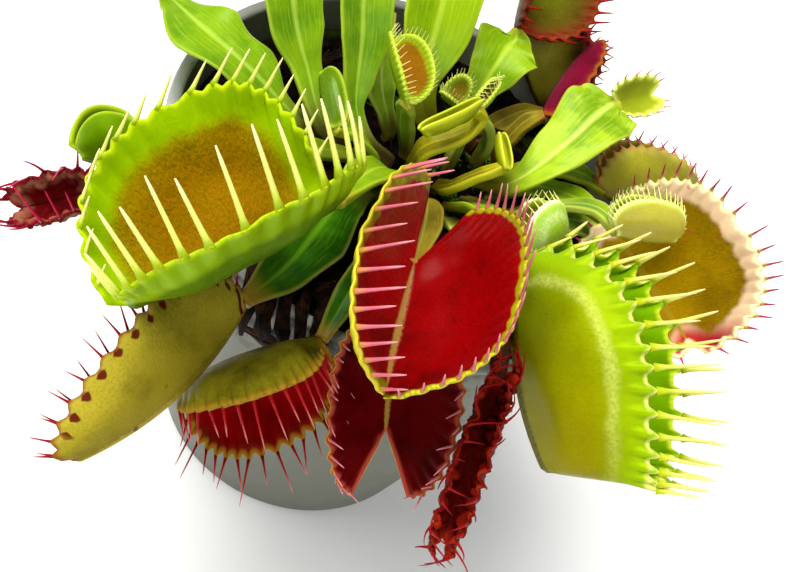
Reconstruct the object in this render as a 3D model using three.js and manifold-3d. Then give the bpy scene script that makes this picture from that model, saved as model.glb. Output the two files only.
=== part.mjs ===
// A potted venus flytrap: a round nursery pot, its peat and every leaf that stands in it.
// Millimetres, +Z up, the pot's underside at z = 0 and its axis on the Z axis.
import * as THREE from 'three';
import Module from 'manifold-3d';

const wasm = await Module();
wasm.setup();

// Pot.
const POT_HEIGHT = 72;
const RIM_RADIUS = 40;
const BASE_RADIUS = 28;
const WALL = 1.2;
const FLOOR = 1.8;
const LIP_HEIGHT = 6;
const LIP_DEPTH = 1.0;
const POT_SIDES = 40;
const DRAIN_COUNT = 6;
const DRAIN_RADIUS = 2.2;
const DRAIN_RING = 17;

// Peat.
const GAP = 0.3;
const PEAT_EDGE = 66;
const PEAT_CROWN = 68.5;
const PEAT_SECTORS = 24;
const PEAT_RINGS = 4;
const PEAT_LUMP = 0.5;

// Leaf roots stand in plain holes in the peat.
const PEG_HALF = 1.1;
const PEG_DEPTH = 6;
const PEG_RISE = 1.6;
const HOLE_RADIUS = 1.65;
const HOLE_SIDES = 6;

// Leaf blades.
const BLADE = 0.8;
const MIDRIB = 0.85;
const NECK = 0.95;
const LOBE = 1.0;
const LOBE_SMALL = 0.8;
const TOOTH_SHARE = 0.3;
const AIM_SHARE = 0.75;
const SUNK_END = 0.35;

// A trap's usual form: belly and bow, run-on and width at the hinge's ends, squareness, tooth angle.
const BULGE = 0.12;
const ARCH = 0.05;
const OVER = [0.16, 0.12];
const ENDS = [0.4, 0.35];
const POWER = 2.2;
const HOOK = 20;

const LIME = 0xa9c922;
const GREEN = 0x7fae2a;
const PALE = 0xb9d066;
const KHAKI = 0x8f8a2b;
const OCHRE = 0xa98a2e;
const RED = 0xb01018;
const MAROON = 0x6d0d14;
const BROWN = 0x7a3420;

const v3 = (a) => new THREE.Vector3(a[0], a[1], a[2]);
const lerp = THREE.MathUtils.lerp;
const rad = THREE.MathUtils.degToRad;

/** A closed body from points and triangles, turned right side out. */
function solid(points, faces) {
  let volume = 0;
  for (const [a, b, c] of faces) {
    volume += points[a].dot(points[b].clone().cross(points[c]));
  }
  const order = volume < 0 ? [0, 2, 1] : [0, 1, 2];
  const triVerts = new Uint32Array(faces.flatMap((f) => order.map((k) => f[k])));
  const vertProperties = new Float32Array(points.flatMap((p) => [p.x, p.y, p.z]));
  return new wasm.Manifold(new wasm.Mesh({ numProp: 3, vertProperties, triVerts }));
}

/** Both triangles of a quad; `flip` takes the other diagonal. */
function quad(faces, a, b, c, d, flip = false) {
  if (flip) faces.push([a, b, d], [b, c, d]);
  else faces.push([a, b, c], [a, c, d]);
}

/** The body between a stack of rings that all have the same number of points. */
function loft(rings, flips = []) {
  const n = rings[0].length;
  const faces = [];
  for (let i = 0; i + 1 < rings.length; i += 1) {
    for (let k = 0; k < n; k += 1) {
      const m = (k + 1) % n;
      quad(faces, i * n + k, i * n + m, (i + 1) * n + m, (i + 1) * n + k, flips[k]);
    }
  }
  const last = (rings.length - 1) * n;
  for (let k = 1; k + 1 < n; k += 1) {
    faces.push([0, k + 1, k], [last, last + k, last + k + 1]);
  }
  return solid(rings.flat(), faces);
}

/** Where a trap lies: its hinge from base to tip, and the two lobes' directions. */
function trapFrame(base, trap) {
  const tip = v3(trap.tip);
  const along = tip.clone().sub(base);
  const length = along.length();
  along.normalize();
  const mouth = v3(trap.mouth);
  mouth.addScaledVector(along, -mouth.dot(along)).normalize();
  const across = mouth.clone().cross(along).normalize();
  const a = rad(trap.gape);
  const lobes = [-1, 1].map((side, k) => ({
    out: mouth.clone().multiplyScalar(Math.cos(a)).addScaledVector(across, side * Math.sin(a)),
    back: across.clone().multiplyScalar(side * Math.cos(a)).addScaledVector(mouth, -Math.sin(a)),
    size: trap.lobes[k] ?? trap.lobes[0],
  }));
  return { base, along, mouth, length, lobes, trap };
}

/** A point of the trap's middle surface: u runs along the hinge, w from margin to margin. */
function trapPoint(frame, u, w) {
  const { trap, length } = frame;
  const v = Math.abs(w);
  const lobe = frame.lobes[w < 0 ? 0 : 1];
  const { width, over = OVER, ends = ENDS, power = POWER, skew = 0 } = lobe.size;
  const c = Math.cos(Math.PI * u);
  const s = Math.max(Math.sin(Math.PI * u), 0);
  const middle = (length * (1 + over[1] - over[0])) / 2;
  const half = (length * (1 + over[1] + over[0])) / 2;
  const edgeX = middle - half * Math.sign(c) * Math.abs(c) ** (2 / power) + skew * length * s * s;
  const end = width * lerp(ends[0], ends[1], u);
  const edgeY = end + (width - end) * s ** (2 / power);
  const x = (1 - v) * length * u + v * edgeX;
  const bulge = (trap.bulge ?? BULGE) * width * Math.sin(Math.PI * v) * s ** 0.6;
  const t = (2 * x) / length - 1;
  const arch = (trap.arch ?? ARCH) * length * (Math.min(t * t, 1.6) - 1);
  return frame.base.clone()
    .addScaledVector(frame.along, x)
    .addScaledVector(lobe.out, v * edgeY)
    .addScaledVector(lobe.back, bulge)
    .addScaledVector(frame.mouth, arch);
}

/** Column borders along the hinge: gap, tooth, gap, tooth ... gap. */
function columns(teeth) {
  const count = 2 * teeth + 2;
  const widths = Array.from({ length: count }, (_, i) => (i === 0 || i === count - 1 ? 0.5 : 1));
  const total = widths.reduce((a, b) => a + b, 0);
  const borders = [0];
  widths.forEach((w) => borders.push(borders[borders.length - 1] + w / total));
  return borders;
}

/** The two lobes with their teeth as one closed shell. */
function trapSolid(frame) {
  const { trap } = frame;
  const rows = trap.rows ?? 3;
  const teeth = trap.teeth ?? 0;
  const borders = teeth ? columns(teeth) : Array.from({ length: 9 }, (_, i) => i / 8);
  const nu = borders.length;
  const nw = 2 * rows + 1;
  const half = (rows > 2 ? LOBE : LOBE_SMALL) / 2;
  const at = (i, j) => {
    const w = (j - rows) / rows;
    const left = w < 0;
    const own = teeth && (i > 0 && i < nu - 1) ? toothShift(i, left) * Math.abs(w) : 0;
    return trapPoint(frame, borders[i] + own / (2 * teeth + 1), w);
  };
  const middle = borders.map((_, i) => Array.from({ length: nw }, (_unused, j) => at(i, j)));
  const points = [];
  for (const sign of [1, -1]) {
    for (let i = 0; i < nu; i += 1) {
      for (let j = 0; j < nw; j += 1) {
        const du = middle[Math.min(i + 1, nu - 1)][j].clone().sub(middle[Math.max(i - 1, 0)][j]);
        const dw = middle[i][Math.min(j + 1, nw - 1)].clone().sub(middle[i][Math.max(j - 1, 0)]);
        const normal = du.cross(dw).normalize();
        points.push(middle[i][j].clone().addScaledVector(normal, sign * half));
      }
    }
  }
  const top = (i, j) => i * nw + j;
  const low = (i, j) => nu * nw + i * nw + j;
  const faces = [];
  for (let i = 0; i + 1 < nu; i += 1) {
    for (let j = 0; j + 1 < nw; j += 1) {
      const flip = j < rows;
      quad(faces, top(i, j), top(i, j + 1), top(i + 1, j + 1), top(i + 1, j), flip);
      quad(faces, low(i, j), low(i + 1, j), low(i + 1, j + 1), low(i, j + 1), flip);
    }
    for (const j of [0, nw - 1]) {
      const ring = j === 0
        ? [top(i, j), top(i + 1, j), low(i + 1, j), low(i, j)]
        : [top(i + 1, j), top(i, j), low(i, j), low(i + 1, j)];
      const own = j === 0 ? i % 2 === 1 : i % 2 === 0 && i > 0;
      if (own && i < nu - 2 && teeth) {
        points.push(toothTip(frame, middle, i, j));
        const apex = points.length - 1;
        ring.forEach((a, k) => faces.push([a, ring[(k + 1) % 4], apex]));
      } else {
        quad(faces, ...ring);
      }
    }
  }
  for (let j = 0; j + 1 < nw; j += 1) {
    quad(faces, top(0, j + 1), top(0, j), low(0, j), low(0, j + 1));
    quad(faces, top(nu - 1, j), top(nu - 1, j + 1), low(nu - 1, j + 1), low(nu - 1, j));
  }
  return solid(points, faces);
}

/** Columns that carry a tooth are drawn together towards the margin. */
function toothShift(i, left) {
  const pull = 0.5 - TOOTH_SHARE;
  const toothAfter = left ? i % 2 === 1 : i % 2 === 0;
  return toothAfter ? pull : -pull;
}

/** The free end of one tooth. */
function toothTip(frame, middle, i, j) {
  const inner = j === 0 ? 1 : j - 1;
  const root = middle[i][j].clone().add(middle[i + 1][j]).multiplyScalar(0.5);
  const within = middle[i][inner].clone().add(middle[i + 1][inner]).multiplyScalar(0.5);
  const { back, size } = frame.lobes[j === 0 ? 0 : 1];
  const lean = rad(size.hook ?? HOOK);
  const way = root.clone().sub(within).normalize()
    .multiplyScalar(Math.cos(lean))
    .addScaledVector(back, -Math.sin(lean));
  if (size.aim) way.lerp(v3(size.aim).normalize(), AIM_SHARE);
  const u = (i + 0.5) / (middle.length - 1);
  const reach = size.tooth * (0.5 + 0.5 * Math.sin(Math.PI * u));
  return root.addScaledVector(way.normalize(), reach);
}

/** The winged stalk, from its peg in the peat to the trap and on along the trap's back. */
function stalkSolid(leaf, frame) {
  const path = leaf.stalk.map((p) => v3(p));
  const widths = leaf.stalk.map((p) => p[3]);
  const curve = new THREE.CatmullRomCurve3(path, false, 'centripetal');
  const steps = leaf.steps ?? 8;
  const heading = path[path.length - 1].clone().sub(path[0]).setZ(0).normalize();
  const side = heading.clone().cross(new THREE.Vector3(0, 0, 1)).normalize();
  const rings = [];
  const ring = (centre, tangent, half, thick, turn, fold, wave) => {
    const s = side.clone().addScaledVector(tangent, -side.dot(tangent)).normalize();
    s.applyAxisAngle(tangent, turn);
    const n = s.clone().cross(tangent).normalize();
    const put = (a, b) => centre.clone().addScaledVector(s, a).addScaledVector(n, b);
    const edge = Math.min(BLADE / 2, thick);
    const lift = fold * half;
    rings.push([
      put(-half, lift + wave + edge), put(0, thick), put(half, lift - wave + edge),
      put(half, lift - wave - edge), put(0, -thick), put(-half, lift + wave - edge),
    ]);
  };
  const up = new THREE.Vector3(0, 0, 1);
  const root = path[0];
  ring(root.clone().setZ(root.z - PEG_RISE - PEG_DEPTH), up, PEG_HALF * 0.8, MIDRIB * 0.8, 0, 0, 0);
  ring(root.clone().setZ(root.z - PEG_RISE + 0.6), up, PEG_HALF, MIDRIB, 0, 0, 0);
  for (let i = 0; i <= steps; i += 1) {
    const t = i / steps;
    const f = t * (path.length - 1);
    const k = Math.min(Math.floor(f), path.length - 2);
    const half = lerp(widths[k], widths[k + 1], f - k);
    const spread = Math.max(0, half - NECK) / (half + 0.01);
    const wave = (leaf.ruffle ?? 0) * spread * Math.sin(i * 2.1);
    const turn = rad((leaf.turn ?? 0) * Math.sin((Math.PI / 2) * t));
    ring(curve.getPoint(t), curve.getTangent(t), half, MIDRIB, turn, (leaf.fold ?? 0.3) * spread, wave);
  }
  if (frame) {
    const sunk = trapPoint(frame, 0.16, 0);
    ring(sunk, frame.along, SUNK_END, SUNK_END, 0, 0, 0);
  }
  return loft(rings, [false, false, false, true, true, false]);
}

/** The body without the slivers that a join can leave. */
function main(joined) {
  return joined.decompose().reduce((a, b) => (b.volume() > a.volume() ? b : a));
}

/** A whole leaf as one closed body. */
function leafSolid(leaf) {
  const base = v3(leaf.stalk[leaf.stalk.length - 1]);
  const frame = leaf.trap ? trapFrame(base, leaf.trap) : null;
  const stalk = stalkSolid(leaf, frame);
  return frame ? main(stalk.add(trapSolid(frame))) : stalk;
}

// Every leaf: stalk points [x, y, z, half width] from the root to the trap, then the trap's tip, the
// direction its mouth opens to, the angle each lobe leans out, and each lobe's width, outline and teeth.
// One entry in `lobes` stands for both.
const LEAVES = [
  {
    name: 'leaf_lime_open', color: LIME, fold: 0.25, turn: 15,
    stalk: [[-1, -6, 70, 1.2], [-3, -14, 80, 3], [-5, -24, 87, 3], [-6.5, -34, 90, 1.1]],
    trap: {
      tip: [-23, -54.5, 78], mouth: [-0.5, -0.1, 0.86], gape: 38, teeth: 10,
      lobes: [
        {
          width: 21, tooth: 4.6, over: [0, 0.08],
          ends: [0.2, 0.04], power: 2.5, skew: -0.1, aim: [0.19, 0.72, 0.66],
        },
        {
          width: 17.5, tooth: 8.6, over: [0.08, 0],
          ends: [0.65, 0.35], power: 2.4, aim: [-0.72, 0.35, 0.6],
        },
      ],
    },
  },
  {
    name: 'leaf_round_shut', color: LIME, fold: 0.3, steps: 5,
    stalk: [[-7, -3, 70, 1.2], [-16, -13, 75, 2.2], [-27, -24, 77.5, 2.4], [-34.5, -33, 77, 1]],
    trap: {
      tip: [-40, -35.5, 77], mouth: [-0.34, 0.75, 0.56], gape: 11, bulge: 0.3, rows: 2,
      lobes: [
        { width: 8, over: [0.25, 0.33], ends: [0.1, 0.1] },
        { width: 6.6, over: [0.25, 0.17], ends: [0.1, 0.1] },
      ],
    },
  },
  {
    name: 'leaf_withered', color: BROWN, fold: 0.35, steps: 6,
    stalk: [[-9, -7, 70, 1.2], [-16, -21, 74, 2], [-27, -32, 75.5, 1.6], [-36.5, -38.5, 75, 0.95]],
    trap: {
      tip: [-44, -43, 70], mouth: [-0.15, -0.6, 0.78], gape: 35, rows: 2, teeth: 4,
      lobes: [
        { width: 4.5, tooth: 6.5 },
        { width: 6, tooth: 5 },
      ],
    },
  },
  {
    name: 'leaf_khaki_shut', color: KHAKI, fold: 0.15, turn: -10,
    stalk: [
      [-4, -10, 70, 1.2], [-7, -17, 73, 3.8], [-8, -28, 75.5, 5.2], [-9, -36, 76, 3.6],
      [-11.5, -43.5, 75, 1.1],
    ],
    trap: {
      tip: [-20.5, -69.5, 65], mouth: [-0.94, 0.22, 0.27], gape: 10, bulge: 0.26, arch: 0.09, teeth: 8,
      lobes: [
        { width: 9.7, tooth: 3.6, over: [0.02, 0.04], ends: [0.14, 0.05], power: 1.8, skew: -0.2 },
        { width: 10.2, tooth: 3.6, over: [0.02, 0.04], ends: [0.1, 0.05], power: 1.8, skew: -0.15 },
      ],
    },
  },
  {
    name: 'leaf_low_red', color: KHAKI, fold: 0.2,
    stalk: [[1, -13, 70, 1.2], [1, -25, 74.5, 2], [0.2, -35, 76, 2], [-0.2, -41.7, 73, 1]],
    trap: {
      tip: [-13.2, -51.4, 62.8], mouth: [0.6, -0.8, 0.1], gape: 37, bulge: 0.18, teeth: 7,
      lobes: [
        { width: 15, tooth: 4.4, hook: 45, over: [0, 0.03], ends: [0.33, 0.25], skew: -0.12 },
        { width: 12.7, tooth: 4.8, hook: 10, over: [0.03, 0.08], ends: [0.2, 0.25], skew: 0.05 },
      ],
    },
  },
  {
    name: 'leaf_maroon_open', color: MAROON, fold: 0.2,
    stalk: [[6, -12, 70, 1.2], [8, -24, 75, 2.2], [9, -35, 77, 2.2], [8.5, -41.5, 78, 1]],
    trap: {
      tip: [13, -48, 70], mouth: [0.03, -0.77, 0.64], gape: 68, teeth: 6,
      lobes: [
        { width: 8.2, tooth: 3.4, hook: 60, over: [0.35, 0.75], ends: [0.4, 0.5] },
        { width: 10.5, tooth: 3.4, hook: 60, over: [0.15, 0.75], ends: [0.35, 0.35], skew: -0.3 },
      ],
    },
  },
  {
    name: 'leaf_red_open', color: RED, fold: 0.3,
    stalk: [[3, -6, 70, 1.2], [4, -14, 78, 2.4], [5, -24, 84, 2.6], [6, -34, 86, 1.1]],
    trap: {
      tip: [9.5, -53.5, 85], mouth: [0.04, -0.04, 1], gape: 39, teeth: 9,
      lobes: [
        {
          width: 15, tooth: 5.6, over: [0.7, 0.05],
          ends: [0.1, 0.04], power: 2, skew: 0.3, aim: [0.89, 0.32, 0.33],
        },
        { width: 17.2, tooth: 4, hook: 35, over: [0.35, 0.06], ends: [0.42, 0], power: 2.6 },
      ],
    },
  },
  {
    name: 'leaf_frilled_edge', color: BROWN, fold: 0.2, steps: 7,
    stalk: [[10, -10, 70, 1.2], [16, -22, 75, 2], [20.7, -32.4, 80, 1.8], [22.9, -40.8, 81.1, 0.95]],
    trap: {
      tip: [25.1, -59, 70.6], mouth: [-0.05, -0.7, 0.71], gape: 26, rows: 2, teeth: 6,
      lobes: [{ width: 3.8, tooth: 3.4 }],
    },
  },
  {
    name: 'leaf_lime_shut', color: LIME, fold: 0.3,
    stalk: [[8, -4, 70, 1.2], [12, -11, 79, 2.2], [15.5, -18, 85, 2], [19.5, -23.5, 87, 1.1]],
    trap: {
      tip: [34.5, -45.5, 75], mouth: [0.8, 0.26, 0.54], gape: 18, bulge: 0.2, arch: 0.09, teeth: 10,
      lobes: [
        { width: 18, tooth: 8.4, hook: 12, over: [0, 0.1], ends: [0.1, 0.7], power: 1.8 },
        { width: 22, tooth: 6, hook: 12, over: [0.05, 0.1], ends: [0.15, 0.6], power: 1.9 },
      ],
    },
  },
  {
    name: 'leaf_ochre_open', color: OCHRE, fold: 0.3,
    stalk: [[13.2, 2, 70, 1.2], [19, 4.3, 74.3, 2.4], [25, 3, 77.5, 2.4], [31, -1, 80, 1.1]],
    trap: {
      tip: [49.5, -12.5, 76], mouth: [-0.13, -0.66, 0.74], gape: 65, teeth: 8,
      lobes: [
        { width: 11, tooth: 3, over: [0.02, 0.05], ends: [0.08, 0.05] },
        { width: 16.5, tooth: 3.8, over: [0.09, 0.13], ends: [0.07, 0.07], power: 2.7 },
      ],
    },
  },
  {
    name: 'leaf_khaki_back', color: KHAKI, fold: 0.3, steps: 5,
    stalk: [[13, 8, 70, 1.2], [19, 10, 74, 2.2], [25, 11.5, 75.5, 2.2], [30.3, 11, 75, 1]],
    trap: {
      tip: [45.8, 23, 72], mouth: [-0.34, 0.62, 0.7], gape: 10, bulge: 0.22, rows: 2, teeth: 6,
      lobes: [
        { width: 9.5, tooth: 2, over: [0.1, 0.09], ends: [0.05, 0], skew: -0.1 },
        { width: 10.5, tooth: 2, over: [0.1, 0.09], ends: [0.05, 0], skew: -0.1 },
      ],
    },
  },
  {
    name: 'leaf_comb_small', color: PALE, fold: 0.3, steps: 5,
    stalk: [[15, -2, 70, 1.2], [21.5, -1.5, 77, 1.8], [27.5, -4.5, 84, 1.8], [31, -9, 86, 0.95]],
    trap: {
      tip: [40, -4, 86], mouth: [-0.32, 0.57, 0.75], gape: 16, bulge: 0.25, rows: 2, teeth: 5,
      lobes: [{ width: 6.3, tooth: 1.9, hook: 10, over: [0.15, 0.07], ends: [0.2, 0.05] }],
    },
  },
  {
    name: 'leaf_wedge', color: LIME, fold: 0.12, ruffle: 0.5,
    stalk: [
      [10.6, 4.7, 70, 1.2], [15.3, 0.2, 77, 2], [19.5, 6, 83, 4.4], [22.4, 13.6, 86, 6.4],
      [23.6, 16.4, 86.5, 5.6], [24.5, 18.5, 86.5, 0.95],
    ],
    trap: {
      tip: [29.8, 24.8, 87], mouth: [0.34, -0.34, 0.88], gape: 54, rows: 2, teeth: 3,
      lobes: [{ width: 4, tooth: 1.8 }],
    },
  },
  {
    name: 'leaf_pale_small', color: PALE, fold: 0.3, steps: 5,
    stalk: [[10, -1, 70, 1.2], [14, -5, 74, 1.8], [17.5, -11, 77, 1.6], [21, -15, 78, 0.95]],
    trap: {
      tip: [25, -8, 78], mouth: [-0.6, 0.34, 0.72], gape: 12, bulge: 0.28, rows: 2, teeth: 4,
      lobes: [{ width: 8, tooth: 1.7, hook: 10, over: [0, 0.2], ends: [0.3, 0.05] }],
    },
  },
  {
    name: 'leaf_dark_shut', color: MAROON, fold: 0.3, steps: 5,
    stalk: [[7, 13, 70, 1.2], [9.5, 18, 71.5, 2], [13, 24.5, 71.5, 1.8], [17, 28, 71, 1]],
    trap: {
      tip: [7.2, 38, 75], mouth: [0.62, 0.29, 0.73], gape: 14, bulge: 0.18, rows: 2, teeth: 5,
      lobes: [
        { width: 12.5, tooth: 2, over: [0, 0.15], ends: [0.1, 0.1], skew: 0.2 },
        { width: 12.5, tooth: 2, over: [0, 0.05], ends: [0.1, 0.1], skew: 0.2 },
      ],
    },
  },
  {
    name: 'leaf_dark_pointed', color: MAROON, fold: 0.3, steps: 6,
    stalk: [[12, 13, 70, 1.2], [12.5, 14, 74, 1.6], [13.6, 15, 77.5, 1.5], [15.5, 16, 79.5, 0.95]],
    trap: {
      tip: [18.4, 34.6, 84], mouth: [0.94, -0.2, 0.29], gape: 14, bulge: 0.2, rows: 2, teeth: 4,
      lobes: [{ width: 4.6, tooth: 1.6, over: [0, 0.06], ends: [0.3, 0.05], power: 1.8 }],
    },
  },
  {
    name: 'leaf_tall_left', color: GREEN, fold: 0.12, ruffle: 0.5,
    stalk: [
      [-15.5, -2.5, 70, 1.2], [-20, -8, 75.5, 1.7], [-28, -8.5, 80, 5.2], [-36.5, -6.5, 81, 6.2],
      [-43.5, -2, 79, 2.5], [-46.5, 0, 78, 1],
    ],
    trap: {
      tip: [-62, 10, 72], mouth: [-0.2, -0.5, 0.85], gape: 25, rows: 2, teeth: 5,
      lobes: [{ width: 11, tooth: 3.8 }],
    },
  },
  {
    name: 'leaf_tall_mid', color: GREEN, fold: 0.15,
    stalk: [
      [-11, -3, 70, 1.2], [-16, -6.5, 76, 1.5], [-21.5, -2, 80, 2.8], [-25.5, 0.5, 84, 4.8],
      [-29, 4, 88, 5.4], [-34, 12, 91, 3], [-36.5, 16, 92, 1],
    ],
    trap: {
      tip: [-46, 32, 90], mouth: [-0.3, -0.5, 0.8], gape: 30, rows: 2, teeth: 5,
      lobes: [{ width: 12, tooth: 3.8 }],
    },
  },
  {
    name: 'leaf_tall_folded', color: GREEN, fold: 0.5,
    stalk: [
      [-4, -1, 70, 1.2], [-8.5, -4.5, 75, 1.2], [-12, -3, 78, 1.4], [-14, -0.5, 82, 2.8], [-16, 3, 86, 4.4],
      [-18.5, 6.5, 90, 4.6], [-21.5, 12, 95, 2.4], [-24, 18, 97, 1],
    ],
    trap: {
      tip: [-27, 44, 93], mouth: [-0.1, -0.4, 0.9], gape: 34, rows: 2, teeth: 5,
      lobes: [{ width: 12, tooth: 3.4 }],
    },
  },
  {
    name: 'leaf_tall_right', color: LIME, fold: 0.2, ruffle: 0.4,
    stalk: [
      [1, 9, 70, 1.2], [-5, 9, 78, 3], [-7, 15, 86, 6], [-9.5, 23, 92, 6.6], [-11, 31.5, 95, 2.6],
      [-11.5, 35.5, 95, 1],
    ],
    trap: {
      tip: [-6, 50, 90], mouth: [0, -0.3, 0.95], gape: 32, rows: 2, teeth: 5,
      lobes: [{ width: 12, tooth: 3.4 }],
    },
  },
  {
    name: 'leaf_short_wedge', color: LIME, fold: 0.15, ruffle: 0.5,
    stalk: [
      [5, 10, 70, 1.2], [4, 15.5, 76, 2], [4.5, 19, 81, 4.4], [5, 23, 83, 6], [5.5, 25, 83.5, 3],
      [5, 26.5, 84.5, 0.95],
    ],
    trap: {
      tip: [2.5, 39, 92], mouth: [0.75, -0.2, 0.6], gape: 40, rows: 2, teeth: 4,
      lobes: [
        { width: 13, tooth: 3, over: [0, 0.1], ends: [0.2, 0.3], power: 2 },
        { width: 5, tooth: 3, over: [0, 0.1], ends: [0.3, 0.3] },
      ],
    },
  },
  {
    name: 'leaf_bud_shut', color: LIME, fold: 0.3, steps: 5,
    stalk: [[-4.5, -5.5, 70, 1.2], [-7, -8.5, 77, 1.8], [-10.5, -12, 81.5, 1.6], [-12.5, -14.5, 83, 0.95]],
    trap: {
      tip: [-18, -7, 85], mouth: [0.77, 0.45, 0.45], gape: 14, bulge: 0.35, rows: 2,
      lobes: [{ width: 3.4, over: [0, 0.05], ends: [0.2, 0.2] }],
    },
  },
  {
    name: 'leaf_young_orange', color: OCHRE, fold: 0.3, steps: 5,
    stalk: [[-2, 3, 70, 1.2], [-4, 0, 77, 1.8], [-5, -3.5, 83, 1.8], [-5, -5.5, 86, 0.95]],
    trap: {
      tip: [-11.5, 3, 88], mouth: [0.27, -0.02, 0.96], gape: 33, rows: 2, teeth: 4,
      lobes: [
        { width: 6, tooth: 1.5, over: [0.05, 0.04], ends: [0.12, 0.2] },
        { width: 5, tooth: 2, over: [0.05, 0.04], ends: [0.12, 0.2] },
      ],
    },
  },
  {
    name: 'leaf_young_small', color: PALE, fold: 0.3, steps: 6,
    stalk: [[5, 5, 70, 1.2], [4.8, 6.2, 74, 1.2], [4.2, 6.8, 77.5, 1.1], [2.6, 7, 80, 0.95]],
    trap: {
      tip: [-1, 7.6, 80.3], mouth: [-0.06, -0.19, 0.98], gape: 31, rows: 2, teeth: 4,
      lobes: [
        { width: 5, tooth: 1.7, over: [0.05, 0.15], ends: [0.1, 0.1] },
        { width: 3.4, tooth: 1.5, over: [0.05, 0.15], ends: [0.1, 0.1] },
      ],
    },
  },
  {
    name: 'leaf_young_pale', color: PALE, fold: 0.3, steps: 6,
    stalk: [[9, 9, 70, 1.2], [9, 8.6, 75, 1.3], [7.4, 7, 79.5, 1.1], [4.4, 5, 82, 0.9]],
    trap: {
      tip: [5.5, 11.2, 83.5], mouth: [0.1, 0.2, 0.97], gape: 14, bulge: 0.25, rows: 2, teeth: 4,
      lobes: [{ width: 3, tooth: 1.8, over: [0.05, 0.1], ends: [0.1, 0.1] }],
    },
  },
  {
    name: 'leaf_young_tiny', color: PALE, fold: 0.2, steps: 6,
    stalk: [[5, -1, 70, 1.2], [6.8, -4.2, 74, 1.4], [9.6, -3.5, 78, 1.4], [12.5, -1.2, 80, 0.9]],
    trap: {
      tip: [9.8, 2.7, 81.5], mouth: [0.3, -0.3, 0.9], gape: 16, bulge: 0.3, rows: 2,
      lobes: [{ width: 2.2 }],
    },
  },
  {
    name: 'leaf_looped', color: LIME, fold: 0.1, steps: 12,
    stalk: [
      [0, -2, 70, 1.2], [0, -4, 75, 1.5], [0.4, -4.5, 79, 2], [4, -1, 81, 1.7], [5.6, 1.6, 82, 1.2],
      [6, 2.6, 83.8, 1], [4.4, 1.2, 85.4, 0.95],
    ],
    trap: {
      tip: [-0.5, -8.4, 85], mouth: [-0.3, 0.3, 0.9], gape: 16, bulge: 0.3, rows: 2,
      lobes: [{ width: 2.3 }],
    },
  },
  {
    name: 'leaf_narrow_front', color: GREEN, fold: 0.2, steps: 5,
    stalk: [[9, -7, 70, 1.2], [12, -12, 74, 2.6], [16, -17, 76, 3], [20, -21, 76, 0.95]],
  },
  {
    name: 'leaf_narrow_right', color: GREEN, fold: 0.2, steps: 5,
    stalk: [[17, 0, 70, 1.2], [23, 1, 73, 2.8], [29, 3, 74, 3.4], [34, 5, 74, 0.95]],
  },
  {
    name: 'leaf_narrow_rear', color: GREEN, fold: 0.2, steps: 5,
    stalk: [
      [-6, 5, 70, 1.2], [-8, 4.5, 74, 1.5], [-10.5, 5, 78, 2.6], [-13, 8.5, 82, 2.6],
      [-14.5, 13.5, 85, 0.95],
    ],
  },
];

/** Ring of points round the pot's axis. */
function circle(radius, z, sides) {
  return Array.from({ length: sides }, (_, k) => {
    const a = (2 * Math.PI * k) / sides;
    return new THREE.Vector3(radius * Math.cos(a), radius * Math.sin(a), z);
  });
}

/** A plain upright hole. */
function bore(x, y, radius, from, to, sides) {
  const shift = new THREE.Vector3(x, y, 0);
  return loft([from, to].map((z) => circle(radius, z, sides).map((p) => p.add(shift))));
}

/** Inside radius of the pot at height z. */
function insideRadius(z) {
  const wallTop = RIM_RADIUS - LIP_DEPTH;
  return lerp(BASE_RADIUS, wallTop, z / POT_HEIGHT) - WALL;
}

/** The pot: one turned moulding with a lip and drain holes. */
function potSolid() {
  const lipFoot = POT_HEIGHT - LIP_HEIGHT;
  const wallAtLip = insideRadius(lipFoot) + WALL;
  const profile = [
    [0, 0], [BASE_RADIUS - 0.8, 0], [BASE_RADIUS, 0.8], [wallAtLip, lipFoot],
    [RIM_RADIUS - 0.3, lipFoot + 0.5], [RIM_RADIUS, POT_HEIGHT - 0.5], [RIM_RADIUS - 0.5, POT_HEIGHT],
    [insideRadius(POT_HEIGHT) + 0.4, POT_HEIGHT], [insideRadius(POT_HEIGHT), POT_HEIGHT - 0.4],
    [insideRadius(FLOOR), FLOOR], [0, FLOOR],
  ];
  const points = [];
  const faces = [];
  const n = POT_SIDES;
  const inner = profile.slice(1, -1);
  inner.forEach(([r, z]) => points.push(...circle(r, z, n)));
  points.push(new THREE.Vector3(0, 0, 0), new THREE.Vector3(0, 0, FLOOR));
  const [low, high] = [points.length - 2, points.length - 1];
  const last = (inner.length - 1) * n;
  for (let k = 0; k < n; k += 1) {
    const m = (k + 1) % n;
    for (let i = 0; i + 1 < inner.length; i += 1) {
      quad(faces, i * n + k, i * n + m, (i + 1) * n + m, (i + 1) * n + k);
    }
    faces.push([low, m, k], [high, last + k, last + m]);
  }
  let pot = solid(points, faces);
  for (let k = 0; k < DRAIN_COUNT; k += 1) {
    const a = (2 * Math.PI * k) / DRAIN_COUNT;
    const [x, y] = [DRAIN_RING * Math.cos(a), DRAIN_RING * Math.sin(a)];
    pot = pot.subtract(bore(x, y, DRAIN_RADIUS, -1, FLOOR + 1, 8));
  }
  return pot;
}

/** Height of the peat's surface. */
function peatHeight(x, y) {
  const r = Math.hypot(x, y) / RIM_RADIUS;
  const lumps = Math.sin(0.5 * x + 1) * Math.cos(0.45 * y) + 0.5 * Math.sin(1.1 * x - 0.7 * y);
  return lerp(PEAT_CROWN, PEAT_EDGE, Math.min(1, r * r)) + PEAT_LUMP * lumps * (1 - r ** 4);
}

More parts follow.
